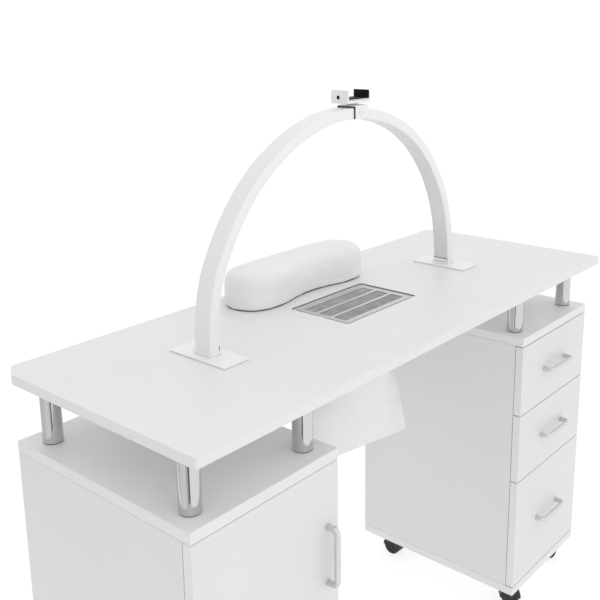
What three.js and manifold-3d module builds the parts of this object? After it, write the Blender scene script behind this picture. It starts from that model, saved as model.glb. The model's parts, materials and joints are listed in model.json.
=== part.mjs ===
// Manicure table: a white two-pedestal desk on casters, with an arch lamp, a dust collector and a
// wrist cushion.
// Millimetres. +Z is up, +X is the technician's right, and the technician sits on the -Y side.
// The origin is on the floor, under the centre of the tabletop.
import * as THREE from "three";
import { mergeVertices } from "three/addons/utils/BufferGeometryUtils.js";
import Module from "manifold-3d";

const wasm = await Module();
wasm.setup();

// ---------------------------------------------------------------- driving dimensions

const GAP = 0.3; // clearance between touching pieces

const table = { length: 1200, width: 445, thickness: 16, height: 758, corner: 5, clip: [18, 31] };
const board = 16; // sides, fronts and door
const panel = 18; // top and bottom of a pedestal
const pedestal = { width: 297, depth: 398, top: 644.5, bottom: 55.5, endInset: 5 };
const front = { seam: 1, reveal: 2, doorReveal: 1, small: 149, large: 247, sideInset: 0.5 };
const backPanel = { thickness: 5, inset: 3 };
const shelf = { height: 340, setback: 12 };
const post = { diameter: 32, chamfer: 1, fromSide: 36, fromFront: 39, fromBack: 43 };
const handle = {
  centres: 96, reach: 23, width: 10, bar: 8, bend: 13, bevel: 1.5, doorInset: 26, doorTop: 150,
};
const drawer = { railSpace: 12.5, depth: 350, wall: 12, floor: 5, lift: 18, smallBox: 100, largeBox: 190 };
const hinge = { fromEnd: 90, plate: [48, 3, 42], arm: [11, 58, 12], reachIn: 18 };
const caster = {
  insetX: 44.5, insetY: 44, trail: 14, wheel: 40, tread: 12, web: 6, webGap: 1, axle: 6, knuckle: 8,
  hoodGap: 1, hoodWall: 2, hoodFrom: -12, hoodTo: 185, boss: 18, stem: 11, stemLength: 14,
};
const vent = {
  x: 1.5, y: 1, pocket: [213, 135, 3], hole: [184, 108], plate: [196, 122, 1.5],
  slots: 3, slot: [178, 28], pitch: 35, notch: [4, 14],
};
const collector = { size: [206, 130, 56], wall: 2.5, outlet: 92, collar: 104, collarLength: 18, spider: 8 };
const rotor = { diameter: 88, hub: 34, depth: 20, blades: 7, blade: 2, chord: 22, pitch: 42 };
// Each row of the bag is a drop below its neck, half the width, half the depth, and a blend from round
// and square to the table (0) to flat and turned (1).
const bag = {
  turn: -11, y: 6, around: 28,
  rows: [
    [0, 54, 54, 0],
    [18, 58, 52, 0],
    [60, 94, 50, 0.6],
    [110, 118, 43, 1],
    [160, 132, 33, 1],
    [190, 140, 20, 1],
    [212, 146, 6, 1],
  ],
};
const lamp = {
  x: -10, y: 18, radius: 357, springing: 6, depth: 36, thickness: 20, bevel: 2, joint: 18, steps: 20,
  plate: [56, 128, 3], plateY: 15, collarWall: 2, collarHeight: 5.5, fit: 0.5,
  // How far the arch stands outside a circle, as [degrees up and over from the right foot, distance].
  swell: [
    [0, 0], [12, 1.3], [24, 3.6], [36, 4.8], [54, 5], [66, 2.8], [78, 0.4], [90, 0],
    [102, -0.5], [117, -1.4], [135, 0.6], [150, 2], [156, 3.5], [162, 4.8], [170, 3], [180, 0],
  ],
};
const clamp = { x0: 0, length: 36, wall: 2, liner: 2 };
const phone = {
  x0: -20, x1: 45, width: 38, rise: 4, thickness: 7, jaw: 3.5, jawHeight: 24, farWidth: 34,
  hole: 3.6, holeY: 3, holeDrop: 1, tongue: [44, 33, 2.6], pivot: 8,
};
const cushion = {
  halfLength: 179, lobeX: 118, frontY: 89, waistY: 107, backY: 202, height: 68, edge: 16, endPull: 0.62,
};

const tableTop = table.height;
const tableUnder = table.height - table.thickness;
const pedestalFrontY = -pedestal.depth / 2;
const carcassFrontY = pedestalFrontY + board + front.seam;
const carcassBackY = pedestal.depth / 2;
const openingBottom = pedestal.bottom + panel;
const openingTop = pedestal.top - panel;
const outerX = table.length / 2 - pedestal.endInset; // outer face of a pedestal
const innerX = outerX - pedestal.width;

// ---------------------------------------------------------------- materials

const finish = (color, roughness, metalness = 0) => ({ color, roughness, metalness });
const WHITE_BOARD = finish(0xe6e6e4, 0.45);
const CHROME = finish(0xc8cacd, 0.12, 1);
const SATIN = finish(0xc9c9c9, 0.35, 0.6);
const WHITE_PAINT = finish(0xe9e9e7, 0.35);
const STEEL = finish(0xb9b9b6, 0.3, 0.9);
const BLACK_PLASTIC = finish(0x141414, 0.4);
const GREY_PLASTIC = finish(0x4a4a4a, 0.5);
const FABRIC = finish(0xededeb, 0.9);
const LEATHERETTE = finish(0xe8e8e6, 0.5);
const DRAWER_BOX = finish(0xdededc, 0.6);

// ---------------------------------------------------------------- solids

const toSolid = (geometry) => {
  const bare = geometry.clone();
  bare.deleteAttribute("normal");
  bare.deleteAttribute("uv");
  const merged = mergeVertices(bare, 1e-4);
  return new wasm.Manifold(new wasm.Mesh({
    numProp: 3,
    vertProperties: merged.attributes.position.array,
    triVerts: new Uint32Array(merged.index.array),
  }));
};

const toGeometry = (solid) => {
  const mesh = solid.getMesh();
  const geometry = new THREE.BufferGeometry();
  geometry.setAttribute("position", new THREE.BufferAttribute(mesh.vertProperties, 3));
  geometry.setIndex(new THREE.BufferAttribute(mesh.triVerts, 1));
  return geometry;
};

const join = (...geometries) => toGeometry(geometries.map(toSolid).reduce((a, b) => a.add(b)));

const cut = (body, ...tools) => toGeometry(tools.map(toSolid).reduce((a, b) => a.subtract(b), toSolid(body)));

// A box between two corners.
const boxBetween = ([x0, y0, z0], [x1, y1, z1]) => new THREE.BoxGeometry(x1 - x0, y1 - y0, z1 - z0)
  .translate((x0 + x1) / 2, (y0 + y1) / 2, (z0 + z1) / 2);

// A box standing on a point: its size, and the centre of its lower face.
const boxOn = ([w, d, h], [x, y, z]) => new THREE.BoxGeometry(w, d, h).translate(x, y, z + h / 2);

// A cylinder of one radius, standing along Y.
const rod = (radius, length, sides) => new THREE.CylinderGeometry(radius, radius, length, sides);

// An upright cylinder from z0 to z1.
const cylinder = (radius, z0, z1, sides, x = 0, y = 0) => rod(radius, z1 - z0, sides)
  .rotateX(Math.PI / 2).translate(x, y, (z0 + z1) / 2);

// A shape drawn in X and Z, extruded along Y and centred on y = 0.
const alongY = (shape, depth, options = {}) => {
  const bevel = options.bevelSize ?? 0;
  const geometry = new THREE.ExtrudeGeometry(shape, {
    depth: depth - 2 * bevel, bevelEnabled: bevel > 0, bevelThickness: bevel, ...options,
  });
  return geometry.translate(0, 0, bevel - depth / 2).rotateX(Math.PI / 2);
};

// A shape drawn in X and Y, extruded upwards from z = 0.
const upwards = (shape, height, options = {}) => {
  const bevel = options.bevelSize ?? 0;
  const geometry = new THREE.ExtrudeGeometry(shape, {
    depth: height - 2 * bevel, bevelEnabled: bevel > 0, bevelThickness: bevel, bevelSegments: 3, ...options,
  });
  return geometry.translate(0, 0, bevel);
};

// A smooth curve through rows of [x, y], read at one x.
const readCurve = (rows, x) => {
  const last = rows.length - 1;
  const slope = (i) => {
    const [a, b] = [rows[Math.max(i - 1, 0)], rows[Math.min(i + 1, last)]];
    return (b[1] - a[1]) / (b[0] - a[0]);
  };
  const next = Math.min(Math.max(rows.findIndex(([at]) => at >= x), 1), last);
  const [[x0, y0], [x1, y1]] = [rows[next - 1], rows[next]];
  const [span, t] = [x1 - x0, (x - x0) / (x1 - x0)];
  const rise = y0 * (1 + 2 * t) * (1 - t) ** 2 + y1 * (3 - 2 * t) * t ** 2;
  return rise + span * t * (1 - t) * ((1 - t) * slope(next - 1) - t * slope(next));
};

// ---------------------------------------------------------------- scene helpers

const model = new THREE.Group();

const add = (name, geometry, look, parent = model) => {
  const mesh = new THREE.Mesh(geometry, new THREE.MeshStandardMaterial(look));
  mesh.name = name;
  parent.add(mesh);
  return mesh;
};

const groupAt = (x, y, z, turnDegrees = 0) => {
  const group = new THREE.Group();
  group.position.set(x, y, z);
  group.rotation.z = THREE.MathUtils.degToRad(turnDegrees);
  model.add(group);
  return group;
};

// ---------------------------------------------------------------- tabletop and riser posts

// The tabletop's outline: two small rounded corners in front and two clipped ones at the back.
function tableOutline() {
  const [x, y, r] = [table.length / 2, table.width / 2, table.corner];
  const [clipX, clipY] = table.clip;
  const shape = new THREE.Shape();
  shape.absarc(-x + r, -y + r, r, Math.PI, 1.5 * Math.PI);
  shape.absarc(x - r, -y + r, r, 1.5 * Math.PI, 2 * Math.PI);
  shape.lineTo(x, y - clipY);
  shape.lineTo(x - clipX, y);
  shape.lineTo(-x + clipX, y);
  shape.lineTo(-x, y - clipY);
  shape.closePath();
  return shape;
}

// The tabletop has a shallow pocket for the vent grille and a hole through the pocket's floor.
function makeTableTop() {
  const slab = upwards(tableOutline(), table.thickness, { curveSegments: 3 }).translate(0, 0, tableUnder);
  const [pocketX, pocketY, pocketDepth] = vent.pocket;
  const pocket = boxOn([pocketX, pocketY, 2 * pocketDepth], [vent.x, vent.y, tableTop - pocketDepth]);
  const hole = boxOn([...vent.hole, 3 * table.thickness], [vent.x, vent.y, tableUnder - table.thickness]);
  add("table_top", cut(slab, pocket, hole), WHITE_BOARD);
}

// Four chrome posts hold the tabletop above each pedestal.
function makePosts() {
  const r = post.diameter / 2;
  const z0 = pedestal.top + GAP;
  const z1 = tableUnder - GAP;
  const c = post.chamfer;
  const profile = [[0, z0], [r - c, z0], [r, z0 + c], [r, z1 - c], [r - c, z1], [0, z1]];
  const points = profile.map(([x, z]) => new THREE.Vector2(x, z));
  const tube = new THREE.LatheGeometry(points, 28).rotateX(Math.PI / 2);
  const places = [
    ["outer_front", outerX - post.fromSide, pedestalFrontY + post.fromFront],
    ["inner_front", innerX + post.fromSide, pedestalFrontY + post.fromFront],
    ["outer_back", outerX - post.fromSide, carcassBackY - post.fromBack],
    ["inner_back", innerX + post.fromSide, carcassBackY - post.fromBack],
  ];
  for (const [sideName, sign] of [["left", -1], ["right", 1]]) {
    for (const [place, x, y] of places) {
      add(`riser_post_${sideName}_${place}`, tube.clone(), CHROME).position.set(sign * x, y, 0);
    }
  }
}

// ---------------------------------------------------------------- pedestals

// The five boards of a pedestal. sign is -1 for the left one and +1 for the right one.
function makeCarcass(prefix, sign) {
  const across = (a, b) => [Math.min(sign * a, sign * b), Math.max(sign * a, sign * b)];
  const slab = (name, [x0, x1], y0, y1, z0, z1) => add(
    `${prefix}_${name}`, boxBetween([x0, y0, z0], [x1, y1, z1]), WHITE_BOARD,
  );
  const full = across(innerX, outerX);
  slab("top", full, pedestalFrontY, carcassBackY, openingTop, pedestal.top);
  const sideZ = [openingBottom + GAP, openingTop - GAP];
  slab("outer_side", across(outerX - board, outerX), carcassFrontY, carcassBackY, ...sideZ);
  slab("inner_side", across(innerX, innerX + board), carcassFrontY, carcassBackY, ...sideZ);
  const backY = carcassBackY - backPanel.inset;
  const inside = across(innerX + board + GAP, outerX - board - GAP);
  slab("back", inside, backY - backPanel.thickness, backY, ...sideZ);

  const bottom = boxBetween(
    [full[0], pedestalFrontY, pedestal.bottom], [full[1], carcassBackY, openingBottom],
  );
  const sockets = casterPlaces(sign).map(({ x, y }) => cylinder(
    caster.stem / 2 + GAP, pedestal.bottom - 1, pedestal.bottom + caster.stemLength + 1, 12, x, y,
  ));
  add(`${prefix}_bottom`, cut(bottom, ...sockets), WHITE_BOARD);
}

// A bow handle: a rounded U whose feet stand on the plane y = 0 and whose bar lies along X in front of it.
function handleGeometry() {
  const { centres, reach, width, bar, bend, bevel } = handle;
  const half = (centres + bar) / 2 - bevel;
  const near = 0;
  const far = reach - bevel;
  const outer = bend - bevel;
  const inner = bend - bar + bevel;
  const gauge = bar - 2 * bevel;
  const shape = new THREE.Shape();
  shape.moveTo(-half, near);
  shape.lineTo(-half, far - outer);
  shape.absarc(-half + outer, far - outer, outer, Math.PI, Math.PI / 2, true);
  shape.absarc(half - outer, far - outer, outer, Math.PI / 2, 0, true);
  shape.lineTo(half, near);
  shape.lineTo(half - gauge, near);
  shape.lineTo(half - gauge, far - gauge - inner);
  shape.absarc(half - gauge - inner, far - gauge - inner, inner, 0, Math.PI / 2);
  shape.absarc(-half + gauge + inner, far - gauge - inner, inner, Math.PI / 2, Math.PI);
  shape.lineTo(-half + gauge, near);
  shape.closePath();
  const solid = upwards(shape, width, { bevelSize: bevel, bevelSegments: 1, curveSegments: 3 })
    .translate(0, 0, -width / 2).rotateX(Math.PI);
  // Trim the feet flat where they stand on the front.
  const trim = boxBetween([-half * 2, -GAP, -width], [half * 2, 4 * bevel, width]);
  return cut(solid, trim);
}

// The cabinet has one shelf and one door, which is hinged at the table's end.
function makeCabinet(handleSolid) {
  makeCarcass("cabinet", -1);
  const x0 = -outerX + board + GAP;
  const x1 = -innerX - board - GAP;
  const shelfBack = carcassBackY - backPanel.inset - backPanel.thickness - GAP;
  add("cabinet_shelf", boxBetween(
    [x0, carcassFrontY + shelf.setback, shelf.height], [x1, shelfBack, shelf.height + board],
  ), WHITE_BOARD);
  add("cabinet_door", boxBetween(
    [-outerX + front.sideInset, pedestalFrontY, openingBottom + front.doorReveal],
    [-innerX - front.sideInset, pedestalFrontY + board, openingTop - front.doorReveal],
  ), WHITE_BOARD);
  const doorHandle = add("door_handle", handleSolid.clone(), SATIN);
  doorHandle.rotation.y = Math.PI / 2;
  doorHandle.position.set(-innerX - handle.doorInset, pedestalFrontY, openingTop - handle.doorTop);
  makeHinges();
}

// Each hinge is a mounting plate and arm on the cabinet's outer side, behind the door's hinged edge.
function makeHinges() {
  const face = -outerX + board + GAP;
  const [plateY, plateX, plateZ] = hinge.plate;
  const [armX, armY, armZ] = hinge.arm;
  const heights = { lower: openingBottom + hinge.fromEnd, upper: openingTop - hinge.fromEnd };
  for (const [name, z] of Object.entries(heights)) {
    const y0 = carcassFrontY + hinge.reachIn;
    const plate = boxBetween([face, y0, z - plateZ / 2], [face + plateX, y0 + plateY, z + plateZ / 2]);
    const armStart = carcassFrontY + GAP;
    const arm = boxBetween(
      [face + plateX - 1, armStart, z - armZ / 2], [face + plateX + armX, armStart + armY, z + armZ / 2],
    );
    add(`hinge_arm_${name}`, join(plate, arm), STEEL);
  }
}

// Three drawers, the lowest one deeper. Each is a front, an open box and a handle.
function makeDrawers(handleSolid) {
  makeCarcass("drawer_unit", 1);
  const x0 = innerX + front.sideInset;
  const x1 = outerX - front.sideInset;
  const middle = (innerX + outerX) / 2;
  const boxHalf = (pedestal.width - 2 * board) / 2 - drawer.railSpace;
  const boxY0 = pedestalFrontY + board + GAP;
  let top = openingTop - front.reveal;
  const smallRow = [front.small, drawer.smallBox];
  const rows = [smallRow, smallRow, [front.large, drawer.largeBox]];
  rows.forEach(([height, boxHeight], index) => {
    const number = index + 1;
    const bottom = top - height;
    add(`drawer_front_${number}`, boxBetween(
      [x0, pedestalFrontY, bottom], [x1, pedestalFrontY + board, top],
    ), WHITE_BOARD);
    const z0 = bottom + drawer.lift;
    const outside = boxBetween(
      [middle - boxHalf, boxY0, z0], [middle + boxHalf, boxY0 + drawer.depth, z0 + boxHeight],
    );
    const inside = boxBetween(
      [middle - boxHalf + drawer.wall, boxY0 + drawer.wall, z0 + drawer.floor],
      [middle + boxHalf - drawer.wall, boxY0 + drawer.depth - drawer.wall, z0 + 2 * boxHeight],
    );
    add(`drawer_box_${number}`, cut(outside, inside), DRAWER_BOX);
    add(`drawer_handle_${number}`, handleSolid.clone(), SATIN)
      .position.set(middle, pedestalFrontY, (top + bottom) / 2);
    top = bottom - front.reveal;
  });
}

// ---------------------------------------------------------------- casters

// Where the stems are, and the direction each caster trails in, in degrees from +X.
function casterPlaces(sign) {
  const nearX = sign * (innerX + caster.insetX);
  const farX = sign * (outerX - caster.insetX);
  const frontY = pedestalFrontY + caster.insetY;
  const backY = carcassBackY - caster.insetY;
  return [
    { place: "inner_front", x: nearX, y: frontY, heading: -53 },
    { place: "outer_front", x: farX, y: frontY, heading: -2 },
    { place: "inner_back", x: nearX, y: backY, heading: -91 },
    { place: "outer_back", x: farX, y: backY, heading: -75 },
  ];
}

// A hood: a web between the wheels, a cover over them, and a boss with the stem. It trails along its
// own +X, and its arc runs from hoodFrom to hoodTo degrees, seen from the side.
function casterHoodGeometry() {
  const axleZ = caster.wheel / 2;
  const inner = caster.wheel / 2 + caster.hoodGap;
  const outer = inner + caster.hoodWall;
  const across = 2 * caster.tread + caster.web + 2 * caster.webGap;
  const cover = new THREE.Shape();
  const from = THREE.MathUtils.degToRad(caster.hoodFrom);
  const to = THREE.MathUtils.degToRad(caster.hoodTo);
  cover.absarc(0, 0, outer, from, to);
  cover.absarc(0, 0, inner, to, from, true);
  cover.closePath();
  const web = new THREE.Shape();
  web.absarc(0, 0, inner + 1, from, to);
  web.absarc(0, 0, caster.knuckle, Math.PI, 2 * Math.PI);
  web.closePath();
  web.holes.push(new THREE.Path().absarc(0, 0, caster.axle / 2 + 2 * GAP, 0, 2 * Math.PI));
  const atAxle = (geometry) => geometry.translate(caster.trail, 0, axleZ);
  const coverSolid = atAxle(alongY(cover, across, { curveSegments: 6 }));
  const webSolid = atAxle(alongY(web, caster.web, { curveSegments: 4 }));
  const bossTop = pedestal.bottom - GAP;
  const boss = cylinder(caster.boss / 2, axleZ + inner + 0.5, bossTop, 12);
  const stem = cylinder(caster.stem / 2, bossTop - 2, pedestal.bottom + caster.stemLength, 10);
  return join(coverSolid, webSolid, boss, stem);
}

// Two wheels on their axle. A flat of each polygon faces the floor.
function casterWheelsGeometry() {
  const sides = 24;
  const halfFlat = Math.PI / sides;
  const radius = caster.wheel / 2 / Math.cos(halfFlat);
  const wheel = (y) => rod(radius, caster.tread, sides).rotateY(halfFlat).translate(0, y, 0);
  const offset = caster.web / 2 + caster.webGap + caster.tread / 2;
  const axle = rod(caster.axle / 2, 2 * offset, 10);
  return join(wheel(-offset), wheel(offset), axle);
}

function makeCasters() {
  const hood = casterHoodGeometry();
  const wheels = casterWheelsGeometry();
  for (const [sideName, sign] of [["left", -1], ["right", 1]]) {
    for (const { place, x, y, heading } of casterPlaces(sign)) {
      const turned = groupAt(x, y, 0, heading);
      add(`caster_hood_${sideName}_${place}`, hood.clone(), BLACK_PLASTIC, turned);
      add(`caster_wheels_${sideName}_${place}`, wheels.clone(), BLACK_PLASTIC, turned)
        .position.set(caster.trail, 0, caster.wheel / 2);
    }
  }
}

// ---------------------------------------------------------------- dust collector

// A steel plate with three long slots that drops into the tabletop's pocket.
function makeVentGrille() {
  const [plateX, plateY, thickness] = vent.plate;
  const z0 = tableTop - vent.pocket[2] + GAP;
  const plate = boxOn([plateX, plateY, thickness - GAP], [0, 0, 0]);
  const tools = [];
  for (let i = 0; i < vent.slots; i += 1) {
    const y = (i - (vent.slots - 1) / 2) * vent.pitch;
    tools.push(boxOn([...vent.slot, 4 * thickness], [0, y, -thickness]));
  }
  const [notchX, notchY] = vent.notch;
  tools.push(boxOn([2 * notchX, notchY, 4 * thickness], [-plateX / 2, 0, -thickness]));
  add("vent_grille", cut(plate, ...tools), STEEL).position.set(vent.x, vent.y, z0);
}

// An open-topped box under the tabletop, with a spider that carries the fan and a collar for the bag.
function makeCollector() {
  const [sizeX, sizeY, sizeZ] = collector.size;
  const { wall } = collector;
  const z1 = tableUnder - GAP;
  const z0 = z1 - sizeZ;
  const body = boxBetween([-sizeX / 2, -sizeY / 2, z0], [sizeX / 2, sizeY / 2, z1]);
  const hollow = boxOn([sizeX - 2 * wall, sizeY - 2 * wall, sizeZ], [0, 0, z0 + wall]);
  const collar = cylinder(collector.collar / 2, z0 - collector.collarLength, z0 + 1, 28);
  const bore = cylinder(collector.outlet / 2, z0 - 2 * collector.collarLength, z0 + 2 * wall, 28);
  const shell = cut(join(body, collar), hollow, bore);
  const spoke = (angle) => new THREE.BoxGeometry(collector.outlet + 2, collector.spider, wall)
    .rotateZ(angle).translate(0, 0, z0 + wall / 2);
  const spokes = [Math.PI / 4, -Math.PI / 4].map(spoke);
  const seat = cylinder(rotor.hub / 2, z0, z0 + wall, 20);
  add("collector_housing", join(shell, ...spokes, seat), GREY_PLASTIC).position.set(vent.x, vent.y, 0);

  const bladeLength = (rotor.diameter - rotor.hub) / 2 + 2;
  const blade = (index) => new THREE.BoxGeometry(bladeLength, rotor.chord, rotor.blade)
    .rotateX(THREE.MathUtils.degToRad(rotor.pitch))
    .translate((rotor.diameter - bladeLength) / 2, 0, rotor.depth / 2)
    .rotateZ((2 * Math.PI * index) / rotor.blades);
  const hub = cylinder(rotor.hub / 2, 0, rotor.depth, 20);
  const blades = Array.from({ length: rotor.blades }, (_, index) => blade(index));
  add("fan_rotor", join(hub, ...blades), BLACK_PLASTIC).position.set(vent.x, vent.y, z0 + wall + 1);
}

// The dust bag hangs from the collar: a round neck that widens and flattens to a seam at the bottom.
function makeDustBag() {
  const neckZ = tableUnder - GAP - collector.size[2] - collector.collarLength - 2 * GAP;
  const { around, rows } = bag;
  const positions = [];
  for (const [drop, halfX, halfY, blend] of rows) {
    const turn = THREE.MathUtils.degToRad(bag.turn) * blend;
    for (let i = 0; i < around; i += 1) {
      const angle = (2 * Math.PI * i) / around;
      const x = halfX * Math.cos(angle);
      const y = halfY * Math.sin(angle);
      positions.push(
        vent.x * (1 - blend) + x * Math.cos(turn) - y * Math.sin(turn),
        vent.y + (bag.y - vent.y) * blend + x * Math.sin(turn) + y * Math.cos(turn),
        neckZ - drop,
      );
    }
  }
  const index = [];
  for (let row = 0; row < rows.length - 1; row += 1) {
    for (let i = 0; i < around; i += 1) {
      const a = row * around + i;
      const b = row * around + ((i + 1) % around);
      index.push(a, a + around, b, b, a + around, b + around);
    }
  }
  const last = (rows.length - 1) * around;
  for (let i = 1; i < around - 1; i += 1) {
    index.push(0, i, i + 1);
    index.push(last, last + i + 1, last + i);
  }
  const geometry = new THREE.BufferGeometry();
  geometry.setAttribute("position", new THREE.Float32BufferAttribute(positions, 3));
  geometry.setIndex(index);
  add("dust_bag", geometry, FABRIC);
}

// ---------------------------------------------------------------- lamp

// Points along the arch at one radius, from a foot to the joint. sign is -1 for the left half.
function archPoints(radius, sign) {
  const start = sign > 0 ? 0 : Math.PI;
  const end = Math.acos((lamp.joint - lamp.x + sign * (GAP / 2 + lamp.bevel)) / radius);
  return Array.from({ length: lamp.steps + 1 }, (_, step) => {
    const angle = start + ((end - start) * step) / lamp.steps;
    const r = radius + readCurve(lamp.swell, THREE.MathUtils.radToDeg(angle));
    return new THREE.Vector2(r * Math.cos(angle), r * Math.sin(angle));
  });
}

// Two quarter arches of rectangular section meet inside the phone clamp. Their feet stand in sockets on
// flat plates.
function makeLamp() {
  const { bevel, radius, thickness, depth } = lamp;
  const outer = radius - bevel;
  const inner = radius - thickness + bevel;
  const footDrop = lamp.springing - lamp.plate[2] - GAP - bevel;
  for (const [name, sign] of [["left", -1], ["right", 1]]) {
    const outline = [
      new THREE.Vector2(sign * outer, -footDrop), ...archPoints(outer, sign),
      ...archPoints(inner, sign).reverse(), new THREE.Vector2(sign * inner, -footDrop),
    ];
    const half = alongY(new THREE.Shape(outline), depth, { bevelSize: bevel, bevelSegments: 1 });
    add(`lamp_arch_${name}`, half, WHITE_PAINT)
      .position.set(lamp.x, lamp.y, tableTop + lamp.springing);
    makeLampBase(name, sign);
  }
}

function makeLampBase(name, sign) {
  const footX = lamp.x + sign * (lamp.radius - lamp.thickness / 2);
  const [plateX, plateY, plateZ] = lamp.plate;
  const z0 = tableTop + GAP;
  const socket = [lamp.thickness + 2 * lamp.fit, lamp.depth + 2 * lamp.fit];
  const collarSize = socket.map((side) => side + 2 * lamp.collarWall);
  const plate = boxOn([plateX, plateY, plateZ - GAP], [0, lamp.plateY - lamp.y, 0]);
  const collar = boxOn([...collarSize, lamp.collarHeight], [0, 0, plateZ / 2]);
  const pocket = boxOn([...socket, 2 * lamp.collarHeight], [0, 0, plateZ - GAP]);
  add(`lamp_base_${name}`, cut(join(plate, collar), pocket), WHITE_PAINT).position.set(footX, lamp.y, z0);
}

// ---------------------------------------------------------------- phone holder

// The clamp is a saddle, open below, that straddles the arch at its joint and carries the holder's tray.
// The tray's far jaw is fixed.
function makePhoneHolder() {
  const crown = tableTop + lamp.springing + lamp.radius;
  const space = clamp.liner + clamp.wall;
  const middle = clamp.x0 + clamp.length / 2;
  const clampTop = crown + space;
  const clampSize = [clamp.length, lamp.depth + 2 * space, lamp.thickness + space];
  const insideSize = [3 * clamp.length, clampSize[1] - 2 * clamp.wall, 2 * clampSize[2]];
  const band = boxOn(clampSize, [middle, lamp.y, clampTop - clampSize[2]]);
  const inside = boxOn(insideSize, [middle, lamp.y, clampTop - clamp.wall - insideSize[2]]);

  const trayZ0 = clampTop + phone.rise;
  const trayZ1 = trayZ0 + phone.thickness;
  const trayX0 = phone.x0 + phone.jaw + GAP;
  const y0 = lamp.y - phone.width / 2;
  const y1 = lamp.y + phone.width / 2;
  const tray = boxBetween([trayX0, y0, trayZ0], [phone.x1, y1, trayZ1]);
  const [tongueX, tongueY, tongueZ] = phone.tongue;
  const channel = boxBetween(
    [trayX0 - 1, lamp.y - tongueY / 2 - 2 * GAP, trayZ0 + 2],
    [trayX0 + tongueX + 2, lamp.y + tongueY / 2 + 2 * GAP, trayZ0 + 2 + tongueZ + 2 * GAP],
  );
  const jawTop = trayZ0 + phone.jawHeight;
  const farJaw = boxBetween(
    [phone.x1 - phone.jaw, y0 + GAP, trayZ1 - 1], [phone.x1, y0 + phone.farWidth, jawTop - 2],
  );
  const pivot = cylinder(phone.pivot, clampTop - 1, trayZ0 + 1, 16, middle, lamp.y);
  add("phone_bracket", cut(join(cut(band, inside), pivot, tray, farJaw), channel), WHITE_PAINT);

  const jawX0 = phone.x0;
  const jawPlate = boxBetween([jawX0, y0, trayZ0], [jawX0 + phone.jaw, y1, jawTop]);
  const tongue = boxBetween(
    [jawX0 + 1, lamp.y - tongueY / 2, trayZ0 + 2 + GAP],
    [trayX0 + tongueX, lamp.y + tongueY / 2, trayZ0 + 2 + GAP + tongueZ],
  );
  const screwHole = rod(phone.hole, 4 * phone.jaw, 14).rotateZ(Math.PI / 2)
    .translate(jawX0 + phone.jaw / 2, lamp.y + phone.holeY, trayZ0 + phone.jawHeight / 2 - phone.holeDrop);
  add("phone_jaw", cut(join(jawPlate, tongue), screwHole), WHITE_PAINT);
}

// ---------------------------------------------------------------- wrist cushion

// A bean-shaped pad: two round ends, a straight back and a shallow hollow along the front.
function makeCushion() {
  const { edge, endPull } = cushion;
  const end = cushion.halfLength - edge;
  const lobe = cushion.lobeX;
  const frontY = cushion.frontY + edge;
  const waistY = cushion.waistY + edge;
  const backY = cushion.backY - edge;
  const middleY = (frontY + backY) / 2;
  const shoulder = lobe + endPull * (end - lobe);
  const lowY = middleY - endPull * (middleY - frontY);
  const highY = middleY + endPull * (backY - middleY);
  const outline = new THREE.Shape();
  outline.moveTo(-end, middleY);
  outline.bezierCurveTo(-end, lowY, -shoulder, frontY, -lobe, frontY);
  outline.bezierCurveTo(-lobe / 2, frontY, -lobe / 2, waistY, 0, waistY);
  outline.bezierCurveTo(lobe / 2, waistY, lobe / 2, frontY, lobe, frontY);
  outline.bezierCurveTo(shoulder, frontY, end, lowY, end, middleY);
  outline.bezierCurveTo(end, highY, shoulder, backY, lobe, backY);
  outline.lineTo(-lobe, backY);
  outline.bezierCurveTo(-shoulder, backY, -end, highY, -end, middleY);
  const body = upwards(outline, cushion.height, { bevelSize: edge, curveSegments: 6 });
  add("wrist_cushion", body, LEATHERETTE).position.set(0, 0, tableTop + GAP);
}

// ---------------------------------------------------------------- assembly

const handleSolid = handleGeometry();
makeTableTop();
makePosts();
makeCabinet(handleSolid);
makeDrawers(handleSolid);
makeCasters();
makeVentGrille();
makeCollector();
makeDustBag();
makeLamp();
makePhoneHolder();
makeCushion();

export default model;
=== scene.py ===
"""The looks of the manicure table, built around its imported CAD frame. Metres, +Z up."""
import json
import math

import bmesh
import bpy
from mathutils import Matrix, Vector, noise


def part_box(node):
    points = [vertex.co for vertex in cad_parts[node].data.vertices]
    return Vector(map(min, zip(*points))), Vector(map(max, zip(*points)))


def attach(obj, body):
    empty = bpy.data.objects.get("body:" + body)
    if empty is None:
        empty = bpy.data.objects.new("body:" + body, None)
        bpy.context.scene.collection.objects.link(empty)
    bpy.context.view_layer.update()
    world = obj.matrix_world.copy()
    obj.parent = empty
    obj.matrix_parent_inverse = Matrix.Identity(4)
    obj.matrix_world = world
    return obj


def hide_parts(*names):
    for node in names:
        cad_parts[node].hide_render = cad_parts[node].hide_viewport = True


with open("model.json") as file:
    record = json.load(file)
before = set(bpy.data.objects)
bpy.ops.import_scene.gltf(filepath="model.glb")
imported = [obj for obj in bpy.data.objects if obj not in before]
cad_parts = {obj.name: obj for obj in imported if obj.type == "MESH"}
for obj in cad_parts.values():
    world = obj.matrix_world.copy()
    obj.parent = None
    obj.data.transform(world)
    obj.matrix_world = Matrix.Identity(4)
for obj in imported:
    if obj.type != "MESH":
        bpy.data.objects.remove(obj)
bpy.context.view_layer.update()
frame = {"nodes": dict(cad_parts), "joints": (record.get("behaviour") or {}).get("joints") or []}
scene = bpy.context.scene

MM = 0.001
X_AXIS = Vector((1, 0, 0))
Y_AXIS = Vector((0, 1, 0))
Z_AXIS = Vector((0, 0, 1))
SIDES = {"left": -1, "right": 1}
CORNERS = ("inner_front", "outer_front", "inner_back", "outer_back")
WHITE, BLACK = (1, 1, 1), (0, 0, 0)


def mm(*values):
    """A point, or a list of sizes, given in millimetres."""
    return Vector(value * MM for value in values)


def new_object(name, data):
    thing = bpy.data.objects.new(name, data)
    scene.collection.objects.link(thing)
    return thing


# ---------------------------------------------------------------- camera


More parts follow.
